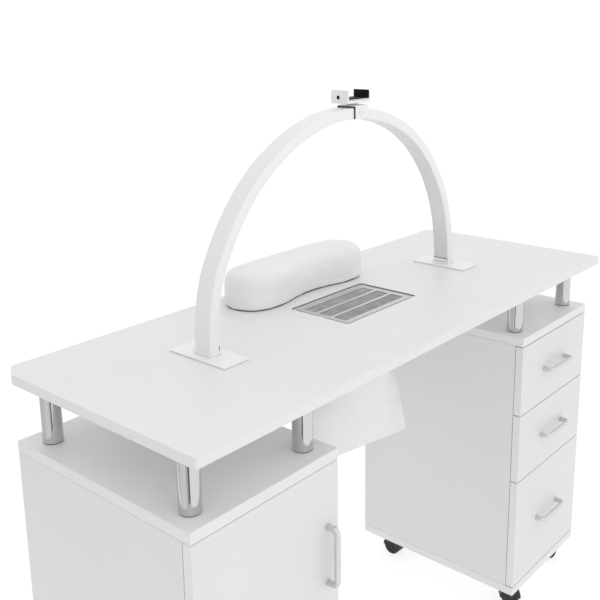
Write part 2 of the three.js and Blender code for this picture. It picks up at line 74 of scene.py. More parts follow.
def make_camera():
    """The photograph's camera, solved from its straight edges."""
    yaw, pitch, roll = (math.radians(a) for a in (48.94, -13.16, -0.80))
    forward = Vector((math.sin(yaw) * math.cos(pitch), math.cos(yaw) * math.cos(pitch), math.sin(pitch)))
    level = Vector((math.cos(yaw), -math.sin(yaw), 0))
    upright = level.cross(forward)
    right = level * math.cos(roll) + upright * math.sin(roll)
    up = upright * math.cos(roll) - level * math.sin(roll)
    data = bpy.data.cameras.new("camera")
    data.sensor_width, data.lens = 36, 52.05
    data.shift_x, data.shift_y = -0.010, -0.1175
    camera = new_object("camera", data)
    place = (-1.2306, -0.9537, 1.2633)
    camera.matrix_world = Matrix.Translation(place) @ Matrix((right, up, -forward)).transposed().to_4x4()
    scene.camera = camera


# ---------------------------------------------------------------- light and floor


def area_light(name, place, target, size, power):
    data = bpy.data.lights.new(name, "AREA")
    data.shape = "RECTANGLE"
    data.size, data.size_y = size
    data.energy = power
    light = new_object(name, data)
    light.location = place
    light.rotation_euler = (Vector(target) - Vector(place)).to_track_quat("-Z", "Y").to_euler()
    light.visible_camera = False


def add_node(tree, kind, values=(), **settings):
    """A shader node, with each input given a value or linked to another node's output."""
    node = tree.nodes.new(f"ShaderNode{kind}")
    for name, value in settings.items():
        setattr(node, name, value)
    for name, value in dict(values).items():
        if isinstance(value, bpy.types.NodeSocket):
            tree.links.new(value, node.inputs[name])
        else:
            node.inputs[name].default_value = value
    return node


def new_material(name, colour, **values):
    """A material with its node tree and its shader. The values are other inputs, with _ for a space."""
    material = bpy.data.materials.new(name)
    material.use_nodes = True
    shader = material.node_tree.nodes["Principled BSDF"]
    shader.inputs["Base Color"].default_value = (*colour, 1)
    for socket, value in values.items():
        shader.inputs[socket.replace("_", " ")].default_value = value
    return material, material.node_tree, shader


def make_world():
    """A white room that is dimmer towards -X, where the fill light is weakest."""
    world = bpy.data.worlds.new("studio")
    scene.world = world
    world.use_nodes = True
    tree = world.node_tree
    background = tree.nodes["Background"]
    background.inputs["Color"].default_value = (*WHITE, 1)
    axes = add_node(tree, "SeparateXYZ", {"Vector": add_node(tree, "TexCoord").outputs["Generated"]})
    dim = add_node(tree, "MapRange", {"Value": axes.outputs["X"], "From Min": -1, "From Max": 0,
                                      "To Min": 0.66, "To Max": 1.06}, interpolation_type="SMOOTHSTEP")
    tree.links.new(dim.outputs["Result"], background.inputs["Strength"])
    scene.view_settings.view_transform = "Standard"


def make_reflection_card():
    """A tall curved card round the -X side, seen only in the chrome. It is dark beyond the camera, which
    draws a thin line up each post, and light grey further round."""
    card_plan = ((-1.12, -1.0), (-1.356, -0.732), (-1.5, -0.35), (-1.55, 0.1), (-1.45, 0.6), (-1.1, 1.1),
                 (-0.6, 1.4))
    card_height, reach, along = 1.3, 1.5, (-0.657, 0.754, 0)
    bm = bmesh.new()
    low, high = ([bm.verts.new((x, y, z)) for x, y in card_plan] for z in (0, card_height))
    for i in range(len(card_plan) - 1):
        bm.faces.new((low[i], low[i + 1], high[i + 1], high[i]))
    card = new_object("reflection_card", finished_mesh("reflection_card", bm, closed=False))
    material, tree, shader = new_material("reflection_card", BLACK, Specular_IOR_Level=0, Emission_Strength=1)
    distance = add_node(tree, "VectorMath", {0: add_node(tree, "TexCoord").outputs["Object"], 1: along},
                        operation="DOT_PRODUCT")
    share = add_node(tree, "MapRange", {"Value": distance.outputs["Value"], "From Min": 0, "From Max": reach})
    ramp = add_node(tree, "ValToRGB", {"Fac": share.outputs["Result"]})
    stops = ((0, 0.05), (0.06, 0.1), (0.16, 0.4), (0.3, 0.72), (0.5, 0.9), (0.75, 0.86), (1, 0.72))
    elements = ramp.color_ramp.elements
    for place, value in stops[1:-1]:
        elements.new(place)
    for element, (place, value) in zip(elements, stops):
        element.position = place
        element.color = (value, value, value, 1)
    tree.links.new(ramp.outputs["Color"], shader.inputs["Emission Color"])
    card.data.materials.append(material)
    card.visible_camera = card.visible_diffuse = card.visible_shadow = card.visible_transmission = False


def make_floor():
    """A pale floor that fades into the white backdrop with its distance from the table."""
    reach, fade_from, fade_to = 7, 1.0, 4.5
    bm = bmesh.new()
    bmesh.ops.create_circle(bm, cap_ends=True, radius=reach, segments=96)
    floor = new_object("floor", finished_mesh("floor", bm, closed=False))
    material, tree, shader = new_material("floor", grey(0.27), Roughness=0.9, Emission_Strength=0.78)
    shader.inputs["Emission Color"].default_value = (*WHITE, 1)
    distance = add_node(tree, "VectorMath", {0: add_node(tree, "TexCoord").outputs["Object"]},
                        operation="LENGTH")
    fade = add_node(tree, "MapRange", {"Value": distance.outputs["Value"], "From Min": fade_from,
                                       "From Max": fade_to}, interpolation_type="SMOOTHSTEP")
    clear = add_node(tree, "BsdfTransparent")
    mix = add_node(tree, "MixShader", {0: fade.outputs["Result"], 1: shader.outputs["BSDF"],
                                       2: clear.outputs["BSDF"]})
    tree.links.new(mix.outputs["Shader"], tree.nodes["Material Output"].inputs["Surface"])
    floor.data.materials.append(material)


# ---------------------------------------------------------------- materials


class Look:
    """A procedural material, with the record's slot that it belongs to."""

    def __init__(self, name, slot, colour, **values):
        self.slot = slot
        self.colour = colour
        self.material, self.tree, self.shader = new_material(name, colour, **values)
        self.place = self.add("TexCoord").outputs["Object"]

    def add(self, kind, values=(), **settings):
        return add_node(self.tree, kind, values, **settings)

    def noise(self, scale, detail=2.0, stretch=(1, 1, 1)):
        """Noise in the object's own coordinates, which stretch scales along each axis."""
        mapping = self.add("Mapping", {"Scale": stretch, "Vector": self.place})
        return self.add("TexNoise", {"Scale": scale, "Detail": detail,
                                     "Vector": mapping.outputs["Vector"]}).outputs["Fac"]

    def cells(self, scale):
        return self.add("TexVoronoi", {"Scale": scale, "Vector": self.place}).outputs["Distance"]

    def waves(self, scale, direction):
        return self.add("TexWave", {"Scale": scale, "Distortion": 0.6, "Detail Scale": 2.0,
                                    "Vector": self.place}, bands_direction=direction).outputs["Fac"]

    def vary_roughness(self, source, low, high):
        """Spreads the roughness from low to high, over the middle of a source that runs from 0 to 1."""
        spread = self.add("MapRange", {"Value": source, "From Min": 0.3, "From Max": 0.7, "To Min": low,
                                       "To Max": high})
        self.tree.links.new(spread.outputs["Result"], self.shader.inputs["Roughness"])

    def vary_colour(self, source, other):
        """Mixes the base colour with another where the source is high."""
        ramp = self.add("ValToRGB", {"Fac": source})
        first, last = ramp.color_ramp.elements
        first.position, last.position = 0.35, 0.65
        first.color = (*self.colour, 1)
        last.color = (*other, 1)
        self.tree.links.new(ramp.outputs["Color"], self.shader.inputs["Base Color"])

    def paint_shade_below(self, low, high, share):
        """Paints shade into the base colour: darkens it to that share at the height low, and not at all from
        the height high.
        """
        colour = self.shader.inputs["Base Color"]
        axes = self.add("SeparateXYZ", {"Vector": self.place})
        fade = self.add("MapRange", {"Value": axes.outputs["Z"], "From Min": low, "From Max": high,
                                     "To Min": share, "To Max": 1})
        mix = self.add("VectorMath", {0: colour.links[0].from_socket, "Scale": fade.outputs["Result"]},
                       operation="SCALE")
        self.tree.links.new(mix.outputs["Vector"], colour)

    def bump(self, source, height, strength=1.0):
        """Adds a relief of that height in metres, on top of any that is there."""
        node = self.add("Bump", {"Distance": height, "Strength": strength, "Height": source})
        normal = self.shader.inputs["Normal"]
        if normal.is_linked:
            self.tree.links.new(normal.links[0].from_socket, node.inputs["Normal"])
        self.tree.links.new(node.outputs["Normal"], normal)


def grey(value, warmth=0.0):
    return (value, value - warmth / 2, value - warmth)


def make_look(material, slot, colour, roughness, spread=None, tint=None, reliefs=(), values=()):
    """A look with a spread of roughness (noise, low, high), a second colour (noise, colour), and reliefs on
    each other (noise, height, strength). Each noise is (scale, detail) or (scale, detail, stretch)."""
    look = Look(material, slot, colour, Roughness=roughness, **dict(values))
    if spread:
        look.vary_roughness(look.noise(*spread[0]), *spread[1:])
    if tint:
        look.vary_colour(look.noise(*tint[0]), tint[1])
    for source, *relief in reliefs:
        look.bump(look.noise(*source), *relief)
    return look


def make_looks():
    drawn, brushed, upright, metal = (0.08, 1, 1), (0.03, 1, 1), (1, 1, 0.1), {"Metallic": 1.0}
    rows = {
        "band": ("edge_band", "white_board", grey(0.755, 0.004), 0.35, ((45, 2), 0.27, 0.38),
                 ((9, 3), grey(0.74, 0.006)), [((700, 2), 0.00003, 0.5)]),
        # The bare core of the board, its grey partly painted shade: darker than the core itself, standing in
        # for the shade on the vent pocket's walls.
        "raw": ("raw_particle_board", "white_board", (0.27, 0.265, 0.255), 0.9, None,
                ((420, 4), (0.16, 0.155, 0.15)), [((380, 3), 0.0003)]),
        "inner": ("drawer_foil", "drawer_board", grey(0.66, 0.01), 0.55, None,
                  ((260, 2, (1, 1, 0.15)), grey(0.62, 0.012))),
        "chrome": ("chrome", "chrome", (0.61, 0.615, 0.62), 0.06, ((70, 3), 0.04, 0.10), None,
                   [((240, 2, upright), 0.00001)], metal),
        "satin": ("satin_nickel", "satin_metal", (0.70, 0.70, 0.69), 0.34, ((900, 2, drawn), 0.28, 0.42),
                  ((30, 2), (0.66, 0.66, 0.65)), [((1200, 1, drawn), 0.00002)], metal),
        "nickel": ("nickel_plate", "hinge_steel", (0.62, 0.62, 0.60), 0.25, ((90, 3), 0.2, 0.36), None,
                   [((300, 2), 0.00002)], metal),
        "steel": ("brushed_steel", "vent_steel", (0.56, 0.56, 0.55), 0.38, ((800, 2, brushed), 0.26, 0.44),
                  None, [((1000, 2, brushed), 0.00002)], {"Metallic": 0.75}),
        "wire": ("mesh_wire", "vent_steel", (0.60, 0.60, 0.59), 0.42, ((400, 2), 0.32, 0.5),
                 ((40, 2), (0.48, 0.48, 0.47)), (), {"Metallic": 0.35}),
        "hood": ("caster_nylon", "caster_plastic", grey(0.012), 0.42, ((120, 3), 0.34, 0.5), None,
                 [((1800, 1), 0.00003)]),
        "tread": ("caster_tread", "caster_tread", grey(0.016), 0.6, ((160, 3), 0.5, 0.72),
                  ((60, 4), grey(0.028, 0.003)), [((700, 2), 0.00005)]),
        "dark": ("moulded_plastic", "dark_plastic", grey(0.075), 0.48, ((90, 3), 0.4, 0.56), None,
                 [((2200, 1), 0.00004)]),
        "rubber": ("black_rubber", "black_rubber", grey(0.006), 0.7, ((300, 2), 0.5, 0.72), None,
                   [((900, 2), 0.00006)], {"Specular IOR Level": 0.2}),
        "paint": ("powder_coat", "white_paint", grey(0.83, 0.002), 0.34, ((50, 2), 0.28, 0.4),
                  ((8, 3), grey(0.82, 0.003)), [((240, 1), 0.00001, 0.5)],
                  {"Coat Weight": 0.15, "Coat Roughness": 0.2}),
        "diffuser": ("milky_diffuser", "lamp_diffuser", grey(0.77, 0.004), 0.4, ((40, 2), 0.34, 0.46),
                     ((35, 2, (1, 1, 0.2)), grey(0.75, 0.004)), [((240, 1), 0.00001)],
                     {"Subsurface Weight": 0.15, "Subsurface Radius": (0.004, 0.004, 0.004)}),
        "cloth": ("bag_cloth", "bag_fabric", grey(0.82, 0.004), 0.85, None, ((30, 3), grey(0.80, 0.006)),
                  (), {"Sheen Weight": 0.2}),
        "leather": ("leatherette", "cushion_leather", grey(0.82, 0.004), 0.5, ((60, 3), 0.42, 0.58),
                    ((18, 3), grey(0.80, 0.006)), (), {"Sheen Weight": 0.08}),
    }
    looks = {name: make_look(*row) for name, row in rows.items()}
    # Three copies of one white melamine whose brightness paints light and shade: 'board' for the tabletop,
    # 'top' made lighter as painted light for the pedestal tops in the tabletop's shade, 'carcass' made darker
    # as painted shade for the upright boards.
    for name, value in (("board", 0.775), ("top", 0.81), ("carcass", 0.722)):
        looks[name] = make_look(f"melamine_light_and_shade_{name}", "white_board", grey(value, 0.004), 0.42,
                                ((22, 3), 0.36, 0.48), ((5, 4), grey(value - 0.013, 0.006)),
                                [((1500, 1), 0.00004, 0.5), ((60, 2), 0.00006, 0.35)])
    inner, cloth, leather = (looks[name] for name in ("inner", "cloth", "leather"))
    for weave, scale, height, strength in ((inner, 260, 0.00005, 1), (cloth, 420, 0.00012, 0.5)):
        for direction in "XZ":
            weave.bump(weave.waves(scale, direction), height, strength)
    cloth.bump(cloth.noise(30, 2), 0.0009, 0.4)
    leather.bump(leather.cells(620), 0.00022, 0.7)
    leather.bump(leather.noise(90, 4), 0.0004, 0.35)
    # Painted shade: the diffuser's colour darkens towards the arch's feet, standing in for the shade that the
    # collar and foot plate cast there.
    looks["diffuser"].paint_shade_below(0.768, 0.86, 0.87)
    return looks


LOOKS = make_looks()

# ---------------------------------------------------------------- pieces and mesh helpers


def finished_mesh(name, bm, closed=True):
    """The bmesh as a mesh. The faces of a closed one are turned outwards."""
    if closed:
        bmesh.ops.recalc_face_normals(bm, faces=bm.faces)
    mesh = bpy.data.meshes.new(name)
    bm.to_mesh(mesh)
    bm.free()
    return mesh


def make_piece(name, bm, body, looks, replaces=(), sharp=34, weighted=True):
    """Turns a bmesh into a piece that rides on a body. looks are one or more names; faces pick by index."""
    return place_piece(name, finished_mesh(name, bm), body, looks, replaces, sharp, weighted)


def place_piece(name, mesh, body, looks, replaces=(), sharp=34, weighted=True, at=None):
    names = [looks] if isinstance(looks, str) else looks
    if not mesh.materials:
        for look in names:
            mesh.materials.append(LOOKS[look].material)
        mesh.shade_smooth()
        mesh.set_sharp_from_angle(angle=math.radians(sharp))
    piece = new_object(name, mesh)
    if at is not None:
        piece.matrix_world = at
    if weighted:
        modifier = piece.modifiers.new("weighted", "WEIGHTED_NORMAL")
        modifier.keep_sharp = True
    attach(piece, body)
    if replaces:
        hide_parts(*([replaces] if isinstance(replaces, str) else replaces))
    return piece


def box_into(bm, low, high, rounding=0.8 * MM, segments=2):
    """Adds a box between two corners, with its edges rounded."""
    low, high = Vector(low), Vector(high)
    verts = bmesh.ops.create_cube(bm, size=1)["verts"]
    bmesh.ops.scale(bm, vec=high - low, verts=verts)
    bmesh.ops.translate(bm, vec=(low + high) / 2, verts=verts)
    if rounding:
        edges = list({edge for vert in verts for edge in vert.link_edges})
        bmesh.ops.bevel(bm, geom=edges, offset=rounding, segments=segments, profile=0.5, affect="EDGES")


def round_edges(bm, width, segments=2, where=lambda edge: True, angle=30):
    """Turns the faces outwards, and rounds the edges that turn by more than an angle and lie where asked."""
    bmesh.ops.recalc_face_normals(bm, faces=bm.faces)
    least = math.radians(angle)
    edges = [e for e in bm.edges if e.is_manifold and e.calc_face_angle(0) > least and where(e)]
    bmesh.ops.bevel(bm, geom=edges, offset=width, segments=segments, profile=0.5, affect="EDGES",
                    clamp_overlap=True)


def ring(bm, points, to_world):
    """A closed loop of new vertices, from points in a plane."""
    return [bm.verts.new(to_world(*point)) for point in points]


def wall_between(bm, first, second):
    count = len(first)
    for i in range(count):
        j = (i + 1) % count
        bm.faces.new((first[i], first[j], second[j], second[i]))


def skin_over(bm, loops):
    """Joins each loop to the next, and closes both ends."""
    for first, second in zip(loops, loops[1:]):
        wall_between(bm, first, second)
    return bm.faces.new(loops[0]), bm.faces.new(loops[-1])


def fill_between(bm, rings):
    """Fills the area inside the first ring and outside the others."""
    edges = []
    for verts in rings:
        for a, b in zip(verts, verts[1:] + verts[:1]):
            edges.append(bm.edges.get((a, b)) or bm.edges.new((a, b)))
    bmesh.ops.triangle_fill(bm, edges=edges, use_beauty=True)


def flat_at(z):
    """A map from the points of an outline to a level plane. side_at and front_at give upright ones."""
    return lambda x, y: Vector((x, y, z))


def side_at(x):
    return lambda y, z: Vector((x, y, z))


def front_at(y):
    return lambda x, z: Vector((x, y, z))


def plate_into(bm, outlines, low, high, to_world=flat_at):
    """Adds a flat plate. The first outline is its edge, and the others are holes."""
    bottoms = [ring(bm, outline, to_world(low)) for outline in outlines]
    tops = [ring(bm, outline, to_world(high)) for outline in outlines]
    for bottom, top in zip(bottoms, tops):
        wall_between(bm, bottom, top)
    for rings in (bottoms, tops):
        if len(rings) == 1 and len(rings[0]) > 2:
            bm.faces.new(rings[0])
        else:
            fill_between(bm, rings)


def arc(centre, radius, start, end, steps):
    """Points on an arc, from one angle to another, in degrees."""
    angles = [math.radians(start + (end - start) * i / steps) for i in range(steps + 1)]
    return [(centre[0] + radius * math.cos(a), centre[1] + radius * math.sin(a)) for a in angles]


def rounded_rectangle(width, height, radius, centre=(0, 0), steps=4):
    x, y = width / 2 - radius, height / 2 - radius
    quarters = ((x, y), (-x, y), (-x, -y), (x, -y))
    points = []
    for quarter, (dx, dy) in enumerate(quarters):
        points += arc((centre[0] + dx, centre[1] + dy), radius, 90 * quarter, 90 * quarter + 90, steps)
    return points


def lathe_into(bm, profile, steps=48, at=Matrix.Identity(4)):
    """Turns a line of (radius, height) points about Z. A radius of 0 closes it on the axis."""
    rings = []
    for radius, height in profile:
        if radius == 0:
            rings.append([bm.verts.new(at @ Vector((0, 0, height)))])
            continue
        angles = [2 * math.pi * i / steps for i in range(steps)]
        rings.append([
            bm.verts.new(at @ Vector((radius * math.cos(a), radius * math.sin(a), height))) for a in angles
        ])
    for first, second in zip(rings, rings[1:]):
        if len(first) == 1 and len(second) == 1:
            continue
        for i in range(steps):
            j = (i + 1) % steps
            corners = [loop[k % len(loop)] for loop, k in ((first, i), (first, j), (second, j), (second, i))]
            bm.faces.new(list(dict.fromkeys(corners)))


def sweep_into(bm, path, section, across):
    """Carries a closed section along a path that lies in the plane square to across, with flat ends."""
    loops = []
    for i, point in enumerate(path):
        before, after = path[max(i - 1, 0)], path[min(i + 1, len(path) - 1)]
        along = (after - before).normalized()
        outward = along.cross(across).normalized()
        loops.append([bm.verts.new(point + across * a + outward * b) for a, b in section])
    skin_over(bm, loops)


def in_mm(*points):
    """The points of a profile that is given in millimetres."""
    return [(a * MM, b * MM) for a, b in points]


def turned_to(axis, place=(0, 0, 0)):
    """A frame at a place, with its Z along an axis."""
    return Matrix.Translation(place) @ Z_AXIS.rotation_difference(axis).to_matrix().to_4x4()


def screw_into(bm, place, axis, radius=3.2 * MM, height=1.2 * MM):
    """A low domed screw head with a cross recess, standing on a surface."""
    profile = [(0, height * 0.55), (radius * 0.35, height * 0.55), (radius * 0.42, height),
               (radius * 0.75, height * 0.86), (radius, height * 0.25), (radius, 0), (0, 0)]
    lathe_into(bm, profile, 20, turned_to(axis, place))


# ---------------------------------------------------------------- boards


# By default a board takes the 'carcass' copy of the melamine, whose darker grey is painted shade.
def board_piece(node, body, look="carcass", rounding=0.5 * MM):
    """Stands for a rectangular board: melamine on its two large faces and edge band round its rim."""
    low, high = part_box(node)
    size = high - low
    thin = min(range(3), key=lambda axis: size[axis])
    bm = bmesh.new()
    box_into(bm, low, high, rounding)
    for face in bm.faces:
        face.material_index = 0 if abs(face.normal[thin]) > 0.9 else 1
    return make_piece(f"{node}_board", bm, body, (look, "band"), node)


def tabletop_outline(low, high):
    """Small round corners in front and clipped ones at the back, softened where the clips end."""
    round_corner, clip_x, clip_y, soft = 5 * MM, 18 * MM, 31 * MM, 4 * MM
    points = []
    for x, way in ((high.x, 1), (low.x, -1)):
        ends = [(x, high.y - clip_y - soft), (x - way * 0.1 * soft, high.y - clip_y - 0.2 * soft),
                (x - way * 0.6 * soft, high.y - clip_y + 0.9 * soft),
                (x - way * (clip_x - 0.5 * soft), high.y - 0.9 * soft),
                (x - way * (clip_x + 0.1 * soft), high.y - 0.2 * soft), (x - way * (clip_x + soft), high.y)]
        points += ends[::way]
    points += arc((low.x + round_corner, low.y + round_corner), round_corner, 180, 270, 6)
    points += arc((high.x - round_corner, low.y + round_corner), round_corner, 270, 360, 6)
    return points


def make_tabletop():
    """The slab, with the vent's pocket and hole. The pocket's walls show the bare core, in a grey painted
    darker for the shade in the pocket.
    """
    low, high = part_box("table_top")
    grille_low, grille_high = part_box("vent_grille")
    vent = (grille_low + grille_high) / 2
    length, width = high.x - low.x, high.y - low.y
    floor = grille_low.z - 0.3 * MM
    outline = tabletop_outline(low, high)
    pocket = rounded_rectangle(213 * MM, 135 * MM, 7 * MM, (vent.x, vent.y), 5)
    hole = rounded_rectangle(184 * MM, 108 * MM, 5 * MM, (vent.x, vent.y), 5)
    bm = bmesh.new()
    walls = []
    for points, top, bottom in ((outline, high.z, low.z), (pocket, high.z, floor), (hole, floor, low.z)):
        walls.append((ring(bm, points, flat_at(top)), ring(bm, points, flat_at(bottom))))
    for top, bottom in walls:
        wall_between(bm, bottom, top)
    (rim_top, rim_bottom), (pocket_top, pocket_floor), (hole_top, hole_bottom) = walls
    for rings in ((rim_top, pocket_top), (rim_bottom, hole_bottom), (pocket_floor, hole_top)):
        fill_between(bm, rings)
    round_edges(bm, 1.2 * MM, 3, lambda e: max(abs(v.co.y) for v in e.verts) > 0.4 * width
                or max(abs(v.co.x) for v in e.verts) > 0.4 * length, 60)
    for face in bm.faces:
        middle = face.calc_center_median() - vent
        inside = abs(middle.x) < 108 * MM and abs(middle.y) < 69 * MM
        if abs(face.normal.z) < 0.7:
            face.material_index = 2 if inside else 1
    make_piece("tabletop", bm, "table", ("board", "band", "raw"), "table_top", sharp=40)


def make_posts():
    for side in SIDES:
        for corner in CORNERS:
            node = f"riser_post_{side}_{corner}"
            low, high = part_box(node)
            centre = (low + high) / 2
            radius = (high.x - low.x) / 2
            at = Matrix.Translation((centre.x, centre.y, 0))
            lip = 0.7 * MM
            tube = [(0, low.z + lip), (radius - lip, low.z + lip), (radius, low.z + 2 * lip),
                    (radius, high.z - 2 * lip), (radius - lip, high.z - lip), (0, high.z - lip)]
            bm = bmesh.new()
            lathe_into(bm, tube, 64, at)
            make_piece(f"{node}_tube", bm, "table", "chrome", node)
            bm = bmesh.new()
            for start, end in ((low.z, low.z + lip), (high.z - lip, high.z)):
                lathe_into(bm, [(0, start), (radius - lip, start), (radius - lip, end), (0, end)], 48, at)
            make_piece(f"{node}_washers", bm, "table", "dark")


def make_carcasses():
    # The pedestal tops take the lighter copy of the melamine, painted light against the shade under the
    # tabletop; the other boards take the darker copy, painted shade.
    for prefix in ("cabinet", "drawer_unit"):
        board_piece(f"{prefix}_top", "table", "top")
        for board in ("outer_side", "inner_side", "back", "bottom"):
            board_piece(f"{prefix}_{board}", "table")
    board_piece("cabinet_shelf", "table")


# ---------------------------------------------------------------- handles


def handle_mesh():
    """A bow handle along X, its feet on y = 0 and its bar in front, at -y."""
    half, reach, bend, bar, width = 48 * MM, 19 * MM, 9 * MM, 8 * MM, 10 * MM
    left = arc((-half + bend, -reach + bend), bend, 180, 270, 8)
    right = arc((half - bend, -reach + bend), bend, 270, 360, 8)
    path = [Vector((x, y, 0)) for x, y in ((-half, 0), *left, *right, (half, 0))]
    bm = bmesh.new()
    sweep_into(bm, path, rounded_rectangle(width, bar, 3 * MM), Z_AXIS)
    return finished_mesh("bow_handle", bm)


def make_handles():
    mesh = handle_mesh()
    bodies = {"door_handle": "cabinet_door", **{f"drawer_handle_{n}": f"drawer_{n}" for n in (1, 2, 3)}}
    for node, body in bodies.items():
        low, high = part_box(node)
        centre = (low + high) / 2
        turn = Matrix.Rotation(math.pi / 2, 4, "Y") if node == "door_handle" else Matrix.Identity(4)
        at = Matrix.Translation((centre.x, high.y, centre.z)) @ turn
        place_piece(f"{node}_bow", mesh, body, "satin", node, sharp=50, weighted=False, at=at)


# ---------------------------------------------------------------- cabinet


def make_door():
    board_piece("cabinet_door", "cabinet_door")
    door_low, door_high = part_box("cabinet_door")
    for name in ("lower", "upper"):
        make_hinge(name, door_low.x, door_high.y)


def make_hinge(name, door_edge, door_back):
    """A concealed hinge: the arm and plate on the cabinet's side, the cup and its flange on the door."""
    node = f"hinge_arm_{name}"
    low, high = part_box(node)
    middle = (low.z + high.z) / 2
    bm = bmesh.new()
    plate_y = low.y + 18 * MM
    plate = rounded_rectangle(48 * MM, high.z - low.z, 5 * MM, (plate_y + 24 * MM, middle))
    plate_into(bm, [plate], low.x, low.x + 2.4 * MM, side_at)
    box_into(bm, (low.x + 2 * MM, low.y, middle - 6 * MM), (high.x, high.y, middle + 6 * MM), 2 * MM, 3)
    for offset in (-15 * MM, 15 * MM):
        screw_into(bm, (low.x + 2.4 * MM, plate_y + 30 * MM, middle + offset), X_AXIS)
    screw_into(bm, (high.x, high.y - 14 * MM, middle), X_AXIS, 3.6 * MM)
    make_piece(f"{node}_link", bm, "table", "nickel", node)

    cup = Vector((door_edge + 22.5 * MM, door_back, middle))
    bm = bmesh.new()
    flange = rounded_rectangle(17 * MM, 62 * MM, 6 * MM, (cup.x, cup.z))
    plate_into(bm, [flange], cup.y, cup.y + 0.9 * MM, front_at)
    rim = in_mm((0, 0.3), (15.5, 0.3), (15.9, 1.1), (17.5, 1.1), (17.5, 0), (0, 0))
    lathe_into(bm, rim, 48, turned_to(Y_AXIS, cup))
    for offset in (-25 * MM, 25 * MM):
        screw_into(bm, cup + Vector((0, 0.9 * MM, offset)), Y_AXIS, 2.8 * MM, 0.5 * MM)
    make_piece(f"hinge_cup_{name}", bm, "cabinet_door", "nickel")


def make_shelf_pins():
    low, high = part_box("cabinet_shelf")
    bm = bmesh.new()
    for x, axis in ((low.x, X_AXIS), (high.x, -X_AXIS)):
        for y in (low.y + 40 * MM, high.y - 40 * MM):
            pin = in_mm((0, 0), (2.5, 0), (2.5, 8), (0, 8))
            lathe_into(bm, pin, 16, turned_to(axis, (x, y, low.z - 2.6 * MM)))
    make_piece("shelf_pins", bm, "table", "nickel")


# ---------------------------------------------------------------- drawers


def make_drawer(number):
    body = f"drawer_{number}"
    board_piece(f"drawer_front_{number}", body)
    low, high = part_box(f"drawer_box_{number}")
    wall, base, groove = 12 * MM, 3 * MM, 2 * MM
    bm = bmesh.new()
    for x0, x1 in ((low.x, low.x + wall), (high.x - wall, high.x)):
        box_into(bm, (x0, low.y, low.z), (x1, high.y, high.z), 0.6 * MM)
    for y0, y1 in ((low.y, low.y + wall), (high.y - wall, high.y)):
        box_into(bm, (low.x + wall, y0, low.z), (high.x - wall, y1, high.z - 0.4 * MM), 0.6 * MM)
    box_into(bm, (low.x + wall, low.y + wall, low.z + groove),
             (high.x - wall, high.y - wall, low.z + groove + base), 0.1 * MM, 1)
    make_piece(f"drawer_box_{number}_boards", bm, body, "inner", f"drawer_box_{number}")

    bm = bmesh.new()
    for x in (low.x + 40 * MM, high.x - 40 * MM):
        for z in (low.z + 25 * MM, high.z - 25 * MM):
            screw_into(bm, (x, low.y + wall, z), Y_AXIS)
    make_piece(f"drawer_screws_{number}", bm, body, "nickel")
    make_rails(number, body, low, high)


def channel_section(depth, height, sheet):
    """A C of bent sheet that opens towards +a, as (a, b) points."""
    half = height / 2
    return [(0, -half), (depth, -half), (depth, -half + sheet), (sheet, -half + sheet),
            (sheet, half - sheet), (depth, half - sheet), (depth, half), (0, half)]


def make_rails(number, body, low, high):
    """Two-part slides in the gap beside the box: a channel on the carcass and a runner on the drawer."""
    inner_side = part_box("drawer_unit_inner_side")[1].x
    outer_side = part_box("drawer_unit_outer_side")[0].x
    z = low.z + 32 * MM
    ends = (low.y + 4 * MM, high.y - 6 * MM)
    channels, runners = bmesh.new(), bmesh.new()
    for wall_x, box_x, sign in ((inner_side, low.x, 1), (outer_side, high.x, -1)):
        for bm, start, section, inset in (
            (channels, wall_x, channel_section(9.5 * MM, 35 * MM, 1.2 * MM), 0.2 * MM),
            (runners, box_x, channel_section(-8.5 * MM, 24 * MM, 1.2 * MM), -0.2 * MM),
        ):
            loops = [[bm.verts.new((start + sign * (inset + a), y, z + b)) for a, b in section] for y in ends]
            skin_over(bm, loops)
    make_piece(f"drawer_channels_{number}", channels, "table", "nickel", sharp=20, weighted=False)
    make_piece(f"drawer_runners_{number}", runners, body, "nickel", sharp=20, weighted=False)


# ---------------------------------------------------------------- casters


def caster_hood_mesh():
    """The hood in its own frame: the stem on the Z axis, the axle 14 mm along +X and 20 mm up."""
    axle = mm(14, 0, 20)
    bm = bmesh.new()
    path = [axle + Vector((x, 0, z)) for x, z in arc((0, 0), 21.7 * MM, 185, -12, 30)]
    half, lip, skin, bend = 16 * MM, 2.4 * MM, 1.2 * MM, 2.6 * MM
    outer = [(-half, -lip), *arc((bend - half, -bend / 2), bend, 180, 90, 4),
             *arc((half - bend, -bend / 2), bend, 90, 0, 4), (half, -lip)]
    inner = [(half - skin / 3, -lip), (half - skin, -0.7 * MM), (half - bend, 0), (bend - half, 0),
             (skin - half, -0.7 * MM), (skin / 3 - half, -lip)]
    sweep_into(bm, path, outer + inner, Y_AXIS)
    web = [*arc((0, 0), 21.7 * MM, 0, 180, 20), *arc((0, 0), 8 * MM, 180, 360, 12)]
    plate_into(bm, [[(axle.x + x, axle.z + z) for x, z in web]], -3 * MM, 3 * MM, front_at)
    lathe_into(bm, in_mm((0, 40.5), (8.4, 40.5), (9, 41.6), (9, 48), (8, 49.6), (8, 52.6), (0, 52.6)), 36)
    return finished_mesh("caster_hood", bm)


def caster_stem_mesh():
    """The bearing cap under the board, and the stem that goes up into it."""
    bm = bmesh.new()
    lathe_into(bm, in_mm((0, 52.3), (8.4, 52.3), (9, 52.9), (9, 54.6), (8.4, 55.2), (5.5, 55.2), (5.5, 68.3),
                         (4.5, 69.3), (0, 69.3)), 36)
    return finished_mesh("caster_stem", bm)


